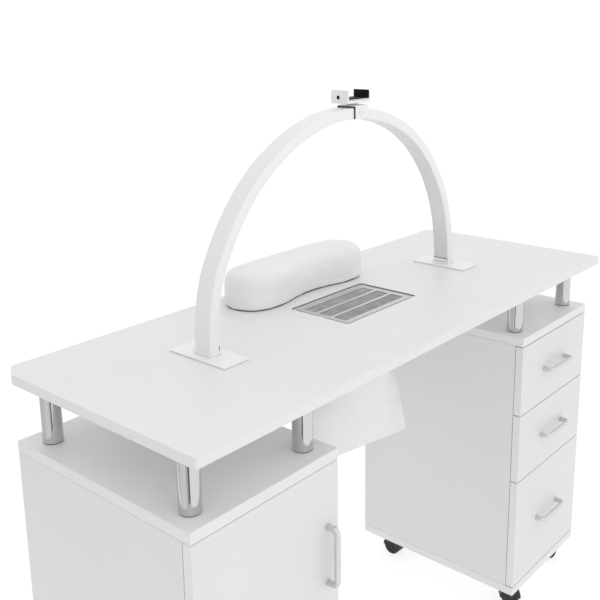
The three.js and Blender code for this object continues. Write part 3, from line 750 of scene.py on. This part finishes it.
def caster_wheels_mesh():
    """Twin wheels about the Y axis, with rounded treads and dished hubs, joined by the axle."""
    bm = bmesh.new()
    wheel = in_mm((0, 15.2), (3.4, 15.2), (4.3, 14.4), (5.8, 13.1), (12, 13.1), (13.6, 14.8), (14.6, 15.5),
                  (17.2, 15.8), (18.9, 15), (19.7, 13.5), (20, 11.4), (20, 8.2), (19.7, 6.1), (18.9, 4.7),
                  (17.6, 4.1), (0, 4.1))
    for side in (-1, 1):
        lathe_into(bm, wheel, 56, turned_to(Y_AXIS * side))
    lathe_into(bm, in_mm((0, -4.5), (3, -4.5), (3, 4.5), (0, 4.5)), 24, turned_to(Y_AXIS))
    return finished_mesh("caster_wheels", bm)


def make_casters():
    hood, stem, wheels = caster_hood_mesh(), caster_stem_mesh(), caster_wheels_mesh()
    pivots = {joint["child"]: joint for joint in frame["joints"]}
    for side in SIDES:
        for corner in CORNERS:
            swivel, roller = f"caster_swivel_{side}_{corner}", f"caster_roller_{side}_{corner}"
            post = Vector(pivots[swivel]["pos_m"])
            axle = Vector(pivots[roller]["pos_m"])
            heading = math.atan2(axle.y - post.y, axle.x - post.x)
            turn = Matrix.Rotation(heading, 4, "Z")
            at = Matrix.Translation((post.x, post.y, 0)) @ turn
            tag = f"{side}_{corner}"
            place_piece(f"caster_{tag}_hood", hood, swivel, "hood", f"caster_hood_{tag}", 40, at=at)
            place_piece(f"caster_{tag}_stem", stem, swivel, "nickel", (), 40, at=at)
            place_piece(f"caster_{tag}_wheels", wheels, roller, "tread", f"caster_wheels_{tag}", 30,
                        at=Matrix.Translation(axle) @ turn)


# ---------------------------------------------------------------- dust collector


def make_grille():
    """The slotted plate with a finger notch, and the welded mesh under it."""
    low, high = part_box("vent_grille")
    centre = (low + high) / 2
    half_x, half_y = (high.x - low.x) / 2, (high.y - low.y) / 2
    edge = rounded_rectangle(2 * half_x, 2 * half_y, 2 * MM, (centre.x, centre.y), 3)
    notch = [(low.x, centre.y + 7 * MM), (low.x + 4 * MM, centre.y + 7 * MM),
             (low.x + 4 * MM, centre.y - 7 * MM), (low.x, centre.y - 7 * MM)]
    upper_left = 2 * (3 + 1)
    outline = edge[:upper_left] + notch + edge[upper_left:]
    slots = [rounded_rectangle(178 * MM, 28 * MM, 1.5 * MM, (centre.x, centre.y + row * 35 * MM), 2)
             for row in (-1, 0, 1)]
    bm = bmesh.new()
    plate_into(bm, [outline, *slots], low.z, high.z)
    round_edges(bm, 0.25 * MM, 1, lambda e: all(v.co.z > high.z - 0.01 * MM for v in e.verts), 60)
    make_piece("vent_plate", bm, "vent_grille", "steel", "vent_grille", sharp=50)
    make_mesh(centre, low.z - 0.2 * MM)


def make_mesh(centre, top):
    """Two layers of straight wires that cross at 45 degrees, cut to a rectangle."""
    half_x, half_y, pitch, wire = 91 * MM, 52.5 * MM, 5.2 * MM, 0.55 * MM
    bm = bmesh.new()
    section = [(wire, 0), (0, wire), (-wire, 0), (0, -wire)]
    reach = half_x + half_y
    count = int(reach / pitch)
    for lean, depth in ((1, wire), (-1, 2.6 * wire)):
        for i in range(-count, count + 1):
            offset = i * pitch
            x0 = max(-half_x, offset - half_y)
            x1 = min(half_x, offset + half_y)
            if x1 - x0 < 2 * wire:
                continue
            ends = [Vector((x, lean * (offset - x), 0)) for x in (x0, x1)]
            path = [Vector((centre.x, centre.y, top - depth)) + end for end in ends]
            sweep_into(bm, path, section, Z_AXIS)
    make_piece("vent_mesh", bm, "vent_grille", "wire", sharp=80, weighted=False)


def make_collector():
    """The housing under the top, and its ribs."""
    node = "collector_housing"
    bm = softened_copy(node, 0.8 * MM)
    low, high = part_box(node)
    for x in (low.x, high.x):
        for i in range(5):
            y = low.y + (i + 0.5) * (high.y - low.y) / 5
            rib = Vector((1.2 * MM, 1 * MM, 0))
            box_into(bm, Vector((x, y, low.z + 26 * MM)) - rib, Vector((x, y, high.z - 4 * MM)) + rib,
                     0.3 * MM, 1)
    make_piece("collector_shell", bm, "table", "dark", node, sharp=30, weighted=False)


def softened_copy(node, width):
    """The CAD solid again, with its sharp edges rounded."""
    bm = bmesh.new()
    bm.from_mesh(frame["nodes"][node].data)
    bmesh.ops.remove_doubles(bm, verts=bm.verts, dist=0.01 * MM)
    bmesh.ops.dissolve_limit(bm, angle_limit=math.radians(0.5), verts=bm.verts, edges=bm.edges)
    round_edges(bm, width, 2, angle=50)
    return bm


def make_fan():
    """A hub with seven blades that are twisted and hollowed like an axial fan's."""
    low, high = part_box("fan_rotor")
    centre = (low + high) / 2
    height = high.z - low.z
    hub, tip, skin = 17 * MM, 43.6 * MM, 1.4 * MM
    bm = bmesh.new()
    at = Matrix.Translation((centre.x, centre.y, low.z))
    lathe_into(bm, [(0, 0), (hub, 0), (hub, height - 2 * MM), (hub - 2 * MM, height), (5 * MM, height),
                    (4 * MM, height - 1 * MM), (0, height - 1 * MM)], 40, at)
    along, across = 7, 8
    for blade in range(7):
        spin = 2 * math.pi * blade / 7
        sheets = []
        for lift in (0, skin):
            grid = []
            for i in range(along + 1):
                s = i / along
                radius = hub - 1 * MM + s * (tip - hub)
                pitch = math.radians(52 - 22 * s)
                row = []
                for j in range(across + 1):
                    t = j / across - 0.5
                    chord = 0.86 * height / math.sin(pitch) * t
                    sag = 2.4 * MM * (1 - 4 * t * t)
                    turn = spin + chord * math.cos(pitch) / radius
                    z = height / 2 + chord * math.sin(pitch) * 0.98 + sag + lift - skin / 2
                    row.append(bm.verts.new(at @ Vector((
                        radius * math.cos(turn), radius * math.sin(turn), min(max(z, 0), height)))))
                grid.append(row)
            sheets.append(grid)
        close_sheets(bm, *sheets)
    make_piece("fan_blades", bm, "fan_rotor", "dark", "fan_rotor", sharp=40, weighted=False)


def close_sheets(bm, first, second):
    """Makes one closed skin of two grids of vertices that face each other."""
    rows, columns = len(first) - 1, len(first[0]) - 1
    for grid in (first, second):
        for i in range(rows):
            for j in range(columns):
                bm.faces.new((grid[i][j], grid[i + 1][j], grid[i + 1][j + 1], grid[i][j + 1]))
    border = lambda grid: (grid[0][:-1] + [row[-1] for row in grid[:-1]]
                           + grid[-1][:0:-1] + [row[0] for row in grid[:0:-1]])
    wall_between(bm, border(first), border(second))


def make_bag():
    """Two panels of cloth, sewn down the sides and along the bottom, gathered round the collar above."""
    low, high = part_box("dust_bag")
    housing_low, housing_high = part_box("collector_housing")
    outlet = Vector(((housing_low.x + housing_high.x) / 2, (housing_low.y + housing_high.y) / 2, 0))
    neck_z = high.z + 14 * MM
    drop = neck_z - low.z
    turn = math.radians(-11)
    # Share of the drop, half the width, half the depth, and how far it has turned from round to flat.
    rows = ((0, 54, 54, 0), (0.06, 53.5, 53.5, 0), (0.10, 57, 53, 0.03), (0.16, 70, 52, 0.24),
            (0.30, 97, 49, 0.62), (0.45, 113, 45, 0.88), (0.58, 121, 40, 1), (0.72, 128.5, 32, 1),
            (0.85, 136.5, 20, 1), (0.94, 142, 9, 1), (1, 145.5, 2, 1))
    around, steps = 96, 64
    loops = []
    for step in range(steps + 1):
        share = step / steps
        half_x, half_y, flat = blend_rows(rows, share)
        spin = turn * flat
        loops.append([])
        for i in range(around):
            angle = 2 * math.pi * i / around
            c, s = math.cos(angle), math.sin(angle)
            lens = math.copysign(1 - abs(c) ** 2.6, s)
            gather = math.exp(-share * 9) * min(1, share * 18)
            ripple = 1 + gather * 0.03 * math.sin(17 * angle + 1.3 * math.sin(3 * angle))
            x = half_x * c * ripple * MM
            y = half_y * (s * (1 - flat) + lens * flat) * ripple * MM
            crumple = noise.noise(Vector((6 * x, 3 + s, 8 * share))) * 4.5 * MM * share * (1 - share)
            y += crumple * abs(s)
            loops[-1].append(Vector((
                outlet.x * (1 - flat) + x * math.cos(spin) - y * math.sin(spin),
                outlet.y + 5 * MM * flat + x * math.sin(spin) + y * math.cos(spin),
                neck_z - share * drop)))
    bm = bmesh.new()
    skin_over(bm, [[bm.verts.new(point) for point in loop] for loop in loops])
    make_piece("dust_bag_cloth", bm, "table", "cloth", "dust_bag", sharp=60, weighted=False)

    # The sewn edge: down one side, along the bottom and up the other.
    right, left = ([loop[i] for loop in loops[16:]] for i in (0, around // 2))
    bottom = [right[-1].lerp(left[-1], t / 12) for t in range(1, 12)]
    across = Matrix.Rotation(turn, 3, "Z") @ Y_AXIS
    bm = bmesh.new()
    sweep_into(bm, right + bottom + left[::-1], rounded_rectangle(1.8 * MM, 3.2 * MM, 0.6 * MM), across)
    make_piece("dust_bag_seam", bm, "table", "cloth", sharp=60, weighted=False)

    # The drawn hem that holds the neck on the collar.
    hem_z = neck_z - 0.05 * drop
    at = Matrix.Translation((outlet.x, outlet.y, hem_z))
    tube = [((53.5 + 1.7 * math.cos(a)) * MM, 1.9 * math.sin(a) * MM)
            for a in (math.radians(d) for d in range(0, 361, 30))]
    bm = bmesh.new()
    lathe_into(bm, tube, 64, at)
    make_piece("dust_bag_hem", bm, "table", "cloth", sharp=60, weighted=False)


def blend_rows(rows, share):
    for (s0, *first), (s1, *second) in zip(rows, rows[1:]):
        if share <= s1:
            t = (share - s0) / (s1 - s0)
            return [a + (b - a) * t for a, b in zip(first, second)]
    return rows[-1][1:]


# ---------------------------------------------------------------- lamp


# How far the arch stands outside a circle, as (degrees from the right foot, millimetres).
ARCH_SWELL = ((0, 0), (12, 1.3), (24, 3.6), (36, 4.8), (54, 5), (66, 2.8), (78, 0.4), (90, 0), (102, -0.5),
              (117, -1.4), (135, 0.6), (150, 2), (156, 3.5), (162, 4.8), (170, 3), (180, 0))


def read_curve(rows, x):
    """A smooth curve through rows of (x, y), read at one x."""
    last = len(rows) - 1

    def slope(i):
        (x0, y0), (x1, y1) = rows[max(i - 1, 0)], rows[min(i + 1, last)]
        return (y1 - y0) / (x1 - x0)

    after = next((i for i in range(1, last) if rows[i][0] >= x), last)
    (x0, y0), (x1, y1) = rows[after - 1], rows[after]
    t = (x - x0) / (x1 - x0)
    rise = y0 * (1 + 2 * t) * (1 - t) ** 2 + y1 * (3 - 2 * t) * t ** 2
    return rise + (x1 - x0) * t * (1 - t) * ((1 - t) * slope(after - 1) - t * slope(after))


def arch_path(centre, radius, start, end, steps=72):
    """A line along the arch at one radius, between two angles in degrees from the right foot."""
    path = []
    for step in range(steps + 1):
        angle = start + (end - start) * step / steps
        r = radius + read_curve(ARCH_SWELL, angle) * MM
        turn = math.radians(angle)
        path.append(Vector((centre.x + r * math.cos(turn), centre.y, centre.z + r * math.sin(turn))))
    return path


def make_lamp():
    left_low, left_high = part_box("lamp_arch_left")
    radius, thick = 357 * MM, 20 * MM
    centre = Vector((-10 * MM, (left_low.y + left_high.y) / 2, left_high.z - radius))
    depth = left_high.y - left_low.y
    middle = radius - thick / 2
    joint_x = (left_high.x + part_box("lamp_arch_right")[0].x) / 2
    crown = math.degrees(math.acos((joint_x - centre.x) / middle))
    split = 0.02
    for name, start, end, sign in (("left", 180, crown + split, 1), ("right", 0, crown - split, -1)):
        path = arch_path(centre, middle, start, end)
        path.insert(0, Vector((path[0].x, centre.y, left_low.z)))
        bm = bmesh.new()
        sweep_into(bm, path, arch_section(depth, thick, sign), Y_AXIS)
        make_piece(f"lamp_arch_{name}_body", bm, "table", "paint", f"lamp_arch_{name}", 40, False)
        bm = bmesh.new()
        strip = arch_path(centre, radius - thick + 0.9 * MM, start - 1.4 * sign, end + 2.6 * sign, 64)
        sweep_into(bm, strip, rounded_rectangle(31 * MM, 1.7 * MM, 0.5 * MM), Y_AXIS)
        make_piece(f"lamp_diffuser_{name}", bm, "table", "diffuser", sharp=40, weighted=False)
        make_lamp_base(name)
        make_end_cover(name, centre)


def make_end_cover(name, centre):
    """The small cover that closes the diffuser's lower end, with a black block behind it whose rim is painted
    shade for the gap round the cover.
    """
    inward = -SIDES[name]
    face = centre.x - inward * 337 * MM
    low_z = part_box(f"lamp_base_{name}")[1].z + 0.2 * MM
    # The 'gap' part is black, painted shade standing in for the shaded gap round the cover.
    for part, look, depth, half, start, end in (("gap", "rubber", 0.7, 17.2, 0, 7.6),
                                                ("plate", "paint", 1.1, 17, 0.4, 6.5)):
        bm = bmesh.new()
        near, far = sorted((face, face + inward * depth * MM))
        box_into(bm, (near, centre.y - half * MM, low_z + start * MM),
                 (far, centre.y + half * MM, low_z + end * MM), 0.25 * MM, 1)
        make_piece(f"lamp_end_{part}_{name}", bm, "table", look)


def arch_section(depth, thick, sign):
    """A rounded rectangle with a shallow recess for the diffuser in its inner face."""
    half, groove, deep, corner = depth / 2, 15.7 * MM, 1.9 * MM, 2.2 * MM
    inner = -thick / 2
    points = []
    for centre, start in (((half - corner, -inner - corner), 0), ((-half + corner, -inner - corner), 90),
                          ((-half + corner, inner + corner), 180)):
        points += arc(centre, corner, start, start + 90, 5)
    points += [(-groove, inner), (-groove, inner + deep), (groove, inner + deep), (groove, inner)]
    points += arc((half - corner, inner + corner), corner, 270, 360, 5)
    return [(a, sign * b) for a, b in points]


def make_lamp_base(name):
    """A flat foot plate on a thin pad, with the collar that holds the arch's foot."""
    node = f"lamp_base_{name}"
    low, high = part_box(node)
    centre = (low + high) / 2
    arch_low, arch_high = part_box(f"lamp_arch_{name}")
    foot = (-10 * MM + SIDES[name] * 347 * MM, (arch_low.y + arch_high.y) / 2)
    bm = bmesh.new()
    outline = rounded_rectangle(high.x - low.x, high.y - low.y, 4 * MM, (centre.x, centre.y), 5)
    plate_into(bm, [outline], low.z + 0.25 * MM, low.z + 2.7 * MM)
    outside = rounded_rectangle(25 * MM, 41 * MM, 3 * MM, foot, 5)
    inside = rounded_rectangle(19.8 * MM, 35.8 * MM, 2.2 * MM, foot, 5)
    plate_into(bm, [outside, inside], low.z + 2.6 * MM, high.z)
    outer = lambda v: v.co.z > low.z + 2 * MM and (
        abs(v.co.x - foot[0]) > 11 * MM or abs(v.co.y - foot[1]) > 19 * MM)
    round_edges(bm, 0.9 * MM, 3, lambda e: all(outer(v) for v in e.verts), 60)
    make_piece(f"{node}_plate", bm, "table", "paint", node, sharp=40)
    bm = bmesh.new()
    pad = rounded_rectangle(high.x - low.x - 4 * MM, high.y - low.y - 4 * MM, 3 * MM, (centre.x, centre.y), 5)
    plate_into(bm, [pad], low.z - 0.2 * MM, low.z + 0.25 * MM)
    make_piece(f"{node}_pad", bm, "table", "rubber")


# ---------------------------------------------------------------- phone holder


def saddle_outline(low, high, inset, wall, corner):
    """An upside-down U in Y and Z, inset from a box's sides and top, with round upper corners."""
    def legs(depth, radius):
        left, right, top = low.y + depth, high.y - depth, high.z - depth
        return [(left, low.z), *arc((left + radius, top - radius), radius, 180, 90, 5),
                *arc((right - radius, top - radius), radius, 90, 0, 5), (right, low.z)]
    return legs(inset, corner) + legs(inset + wall, max(corner - wall, 0.3 * MM))[::-1]


def make_phone_holder():
    """The saddle over the arch, and the tray with its fixed jaw and rubber pads."""
    low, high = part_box("phone_bracket")
    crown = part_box("lamp_arch_left")[1].z
    centre_y = (low.y + high.y) / 2
    band_low, band_high = Vector((0, low.y, low.z)), Vector((36 * MM, high.y, crown + 4 * MM))
    bm = bmesh.new()
    saddle = saddle_outline(band_low, band_high, 0, 2 * MM, 3.5 * MM)
    plate_into(bm, [saddle], band_low.x, band_high.x, side_at)
    round_edges(bm, 0.5 * MM, 2, lambda e: abs(e.verts[0].co.x - e.verts[1].co.x) < 0.1 * MM, 60)
    tray_z0, tray_z1 = crown + 8 * MM, crown + 15 * MM
    lathe_into(bm, in_mm((0, 3), (11, 3), (11, 5.4), (8, 6), (8, 9), (0, 9)), 40,
               Matrix.Translation((18 * MM, centre_y, crown)))
    make_piece("phone_bracket_body", bm, "table", "paint", "phone_bracket", sharp=40)
    make_tray(low, high, centre_y, tray_z0, tray_z1)

    bm = bmesh.new()
    liner = saddle_outline(band_low, band_high, 2 * MM, 1.8 * MM, 1.8 * MM)
    plate_into(bm, [liner], band_low.x - 0.8 * MM, band_high.x + 0.8 * MM, side_at)
    make_piece("clamp_liner", bm, "table", "rubber", sharp=40)

    bm = bmesh.new()
    knob = in_mm((0, 0.5), (2.8, 0.5), (3.1, 1.8), (7.4, 1.8), (8.2, 1), (8.2, 0), (0, 0))
    lathe_into(bm, knob, 40, turned_to(-Y_AXIS, (18 * MM, low.y + 0.1 * MM, crown - 8 * MM)))
    make_piece("clamp_screw", bm, "table", "paint", sharp=40)


def make_tray(low, high, centre_y, z0, z1):
    jaw_low, jaw_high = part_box("phone_jaw")
    y0, y1 = jaw_low.y, jaw_high.y
    jaw = 3.5 * MM
    x0 = jaw_low.x + jaw + 0.3 * MM
    channel = 17.4 * MM
    bm = bmesh.new()
    box_into(bm, (x0, y0, z1 - 2.2 * MM), (high.x, y1, z1), 0.6 * MM)
    box_into(bm, (x0, y0, z0), (high.x, y1, z0 + 1.6 * MM), 0.5 * MM)
    for start, end in ((y0, centre_y - channel), (centre_y + channel, y1)):
        box_into(bm, (x0, start, z0 + 0.4 * MM), (high.x, end, z1 - 0.4 * MM), 0.5 * MM)
    box_into(bm, (high.x - 1.6 * MM, y0 + 0.6 * MM, z0), (high.x, y0 + 33.4 * MM, high.z - 3 * MM), 0.6 * MM)
    make_piece("phone_tray", bm, "table", "paint", sharp=40)
    bm = bmesh.new()
    box_into(bm, (high.x - 5.4 * MM, y0 + 0.2 * MM, z1 + 0.1 * MM), (high.x - 1.5 * MM, y0 + 34 * MM, high.z),
             1.2 * MM, 3)
    box_into(bm, (x0 + 6 * MM, y0 + 1.5 * MM, z1), (high.x - 5 * MM, y1 - 1.5 * MM, z1 + 1.6 * MM), 0.5 * MM)
    make_piece("phone_pads", bm, "table", "rubber", sharp=40)
    make_jaw(jaw_low, jaw_high, jaw, centre_y, z0)


def make_jaw(low, high, thick, centre_y, z0):
    """The sliding jaw, with a countersunk screw hole, its rubber pad and its steel tongue."""
    height = high.z - low.z
    hole_z = low.z + height / 2 - 1 * MM
    hole_y = centre_y + 3 * MM
    outline = rounded_rectangle(high.y - low.y, height, 2.5 * MM, (centre_y, low.z + height / 2), 5)
    bm = bmesh.new()
    plate_into(bm, [outline, arc((hole_y, hole_z), 3.6 * MM, 0, 360 - 15, 23)], low.x, low.x + thick, side_at)
    round_edges(bm, 0.6 * MM, 2, lambda e: abs(e.verts[0].co.x - e.verts[1].co.x) < 0.1 * MM, 60)
    make_piece("phone_jaw_plate", bm, "phone_jaw", "paint", "phone_jaw", sharp=40)
    bm = bmesh.new()
    box_into(bm, (low.x + thick - 0.4 * MM, low.y + 2 * MM, z0 + 9 * MM),
             (low.x + thick + 1.6 * MM, high.y - 2 * MM, high.z - 1.5 * MM), 0.7 * MM, 3)
    plug = in_mm((0, 0.3), (1.4, 0.3), (1.7, 0), (3.6, 0), (3.6, 2.6), (0, 2.6))
    lathe_into(bm, plug, 28, turned_to(X_AXIS, (low.x + 0.7 * MM, hole_y, hole_z)))
    make_piece("phone_jaw_pad", bm, "phone_jaw", "rubber", sharp=40)
    bm = bmesh.new()
    box_into(bm, (low.x + 1 * MM, centre_y - 16.5 * MM, z0 + 2.3 * MM), (high.x, centre_y + 16.5 * MM,
             z0 + 4.6 * MM), 0.4 * MM)
    make_piece("phone_jaw_tongue", bm, "phone_jaw", "nickel", sharp=40)


# ---------------------------------------------------------------- wrist cushion


def cushion_outline():
    """The pad's plan, read from the CAD solid's widest ring and put in order round its centre."""
    low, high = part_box("wrist_cushion")
    centre = (low + high) / 2
    level = low.z + 16 * MM
    points = {(round(v.co.x, 5), round(v.co.y, 5)) for v in frame["nodes"]["wrist_cushion"].data.vertices
              if abs(v.co.z - level) < 0.2 * MM}
    return sorted(points, key=lambda p: math.atan2(p[1] - centre.y, p[0] - centre.x))


def inset(points, amount):
    """Moves a closed outline inwards along its own normals."""
    count = len(points)
    moved = []
    for i in range(count):
        before, here, after = (Vector(points[(i + k) % count]) for k in (-1, 0, 1))
        along = (after - before).normalized()
        moved.append(here + Vector((-along.y, along.x)) * amount)
    return moved


def resampled(points, count):
    """The same closed outline with its points evenly spaced."""
    loop = [Vector(p) for p in points] + [Vector(points[0])]
    lengths = [0.0]
    for a, b in zip(loop, loop[1:]):
        lengths.append(lengths[-1] + (b - a).length)
    result, segment = [], 0
    for i in range(count):
        target = lengths[-1] * i / count
        while lengths[segment + 1] < target:
            segment += 1
        t = (target - lengths[segment]) / (lengths[segment + 1] - lengths[segment])
        result.append(loop[segment].lerp(loop[segment + 1], t))
    return result


def smoothed(points, rounds):
    for _ in range(rounds):
        count = len(points)
        points = [(points[i - 1] + 2 * points[i] + points[(i + 1) % count]) / 4 for i in range(count)]
    return points


def make_cushion():
    low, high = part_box("wrist_cushion")
    plan = smoothed(resampled(cushion_outline(), 120), 14)
    base_z = low.z + 0.3 * MM
    height = high.z - base_z
    # Share of the height and how far the wall has come in there, before the foam swells.
    profile = ((0, 1), (0.04, 0), (0.35, -0.4), (0.70, 0.3), (0.80, 1.6), (0.88, 4), (0.945, 8),
               (0.985, 13.5), (1, 22))
    bm = bmesh.new()
    loops = [[bm.verts.new((*point, base_z + share * height)) for point in inset(plan, amount * MM)]
             for share, amount in profile]
    bmesh.ops.triangulate(bm, faces=[skin_over(bm, loops)[1]])
    pad = new_object("wrist_cushion_pad", finished_mesh("wrist_cushion_pad", bm))
    remesh(pad, 5 * MM)
    inflate(pad, 4.0, 4.5 * MM, lambda co: co.z < base_z + 3 * MM)
    smooth = pad.modifiers.new("smooth", "SMOOTH")
    smooth.iterations = 6
    apply_modifiers(pad)
    subdivide = pad.modifiers.new("subdivide", "SUBSURF")
    subdivide.levels = subdivide.render_levels = 1
    pad.data.materials.append(LOOKS["leather"].material)
    pad.data.shade_smooth()
    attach(pad, "wrist_cushion")
    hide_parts("wrist_cushion")
    make_cushion_base(plan, low.z, base_z)


def make_cushion_base(plan, low, high):
    bm = bmesh.new()
    plate_into(bm, [[tuple(p) for p in inset(plan, 4.5 * MM)]], low - 0.2 * MM, high + 2.2 * MM)
    make_piece("wrist_cushion_base", bm, "wrist_cushion", "rubber", sharp=40)


def apply_modifiers(obj):
    """Replaces the mesh by what its modifiers make of it, and removes them."""
    graph = bpy.context.evaluated_depsgraph_get()
    mesh = bpy.data.meshes.new_from_object(obj.evaluated_get(graph))
    obj.modifiers.clear()
    obj.data = mesh


def remesh(obj, voxel):
    modifier = obj.modifiers.new("remesh", "REMESH")
    modifier.mode = "VOXEL"
    modifier.voxel_size = voxel
    apply_modifiers(obj)


def inflate(obj, pressure, cap, pinned):
    """Swells a closed skin by cloth pressure, with no gravity, and caps how far a point may move."""
    rest = [v.co.copy() for v in obj.data.vertices]
    group = obj.vertex_groups.new(name="pinned")
    group.add([i for i, co in enumerate(rest) if pinned(co)], 1.0, "REPLACE")
    cloth = obj.modifiers.new("cloth", "CLOTH")
    cloth.settings.vertex_group_mass = "pinned"
    cloth.settings.use_pressure = True
    cloth.settings.uniform_pressure_force = pressure
    cloth.settings.effector_weights.gravity = 0
    cloth.point_cache.frame_start = 1
    cloth.point_cache.frame_end = 20
    for step in range(1, 21):
        scene.frame_set(step)
    apply_modifiers(obj)
    scene.frame_set(1)
    obj.vertex_groups.clear()
    for vert, start in zip(obj.data.vertices, rest):
        move = vert.co - start
        if move.length > cap:
            vert.co = start + move * (cap / move.length)


# ---------------------------------------------------------------- assembly

make_camera()
make_world()
make_floor()
make_reflection_card()
area_light("key", (-2.2, -2.3, 1.9), (0, 0, 0.8), (2.2, 1.6), 11)
make_tabletop()
make_posts()
make_carcasses()
make_handles()
make_door()
make_shelf_pins()
for drawer_number in (1, 2, 3):
    make_drawer(drawer_number)
make_casters()
make_grille()
make_collector()
make_fan()
make_bag()
make_lamp()
make_phone_holder()
make_cushion()
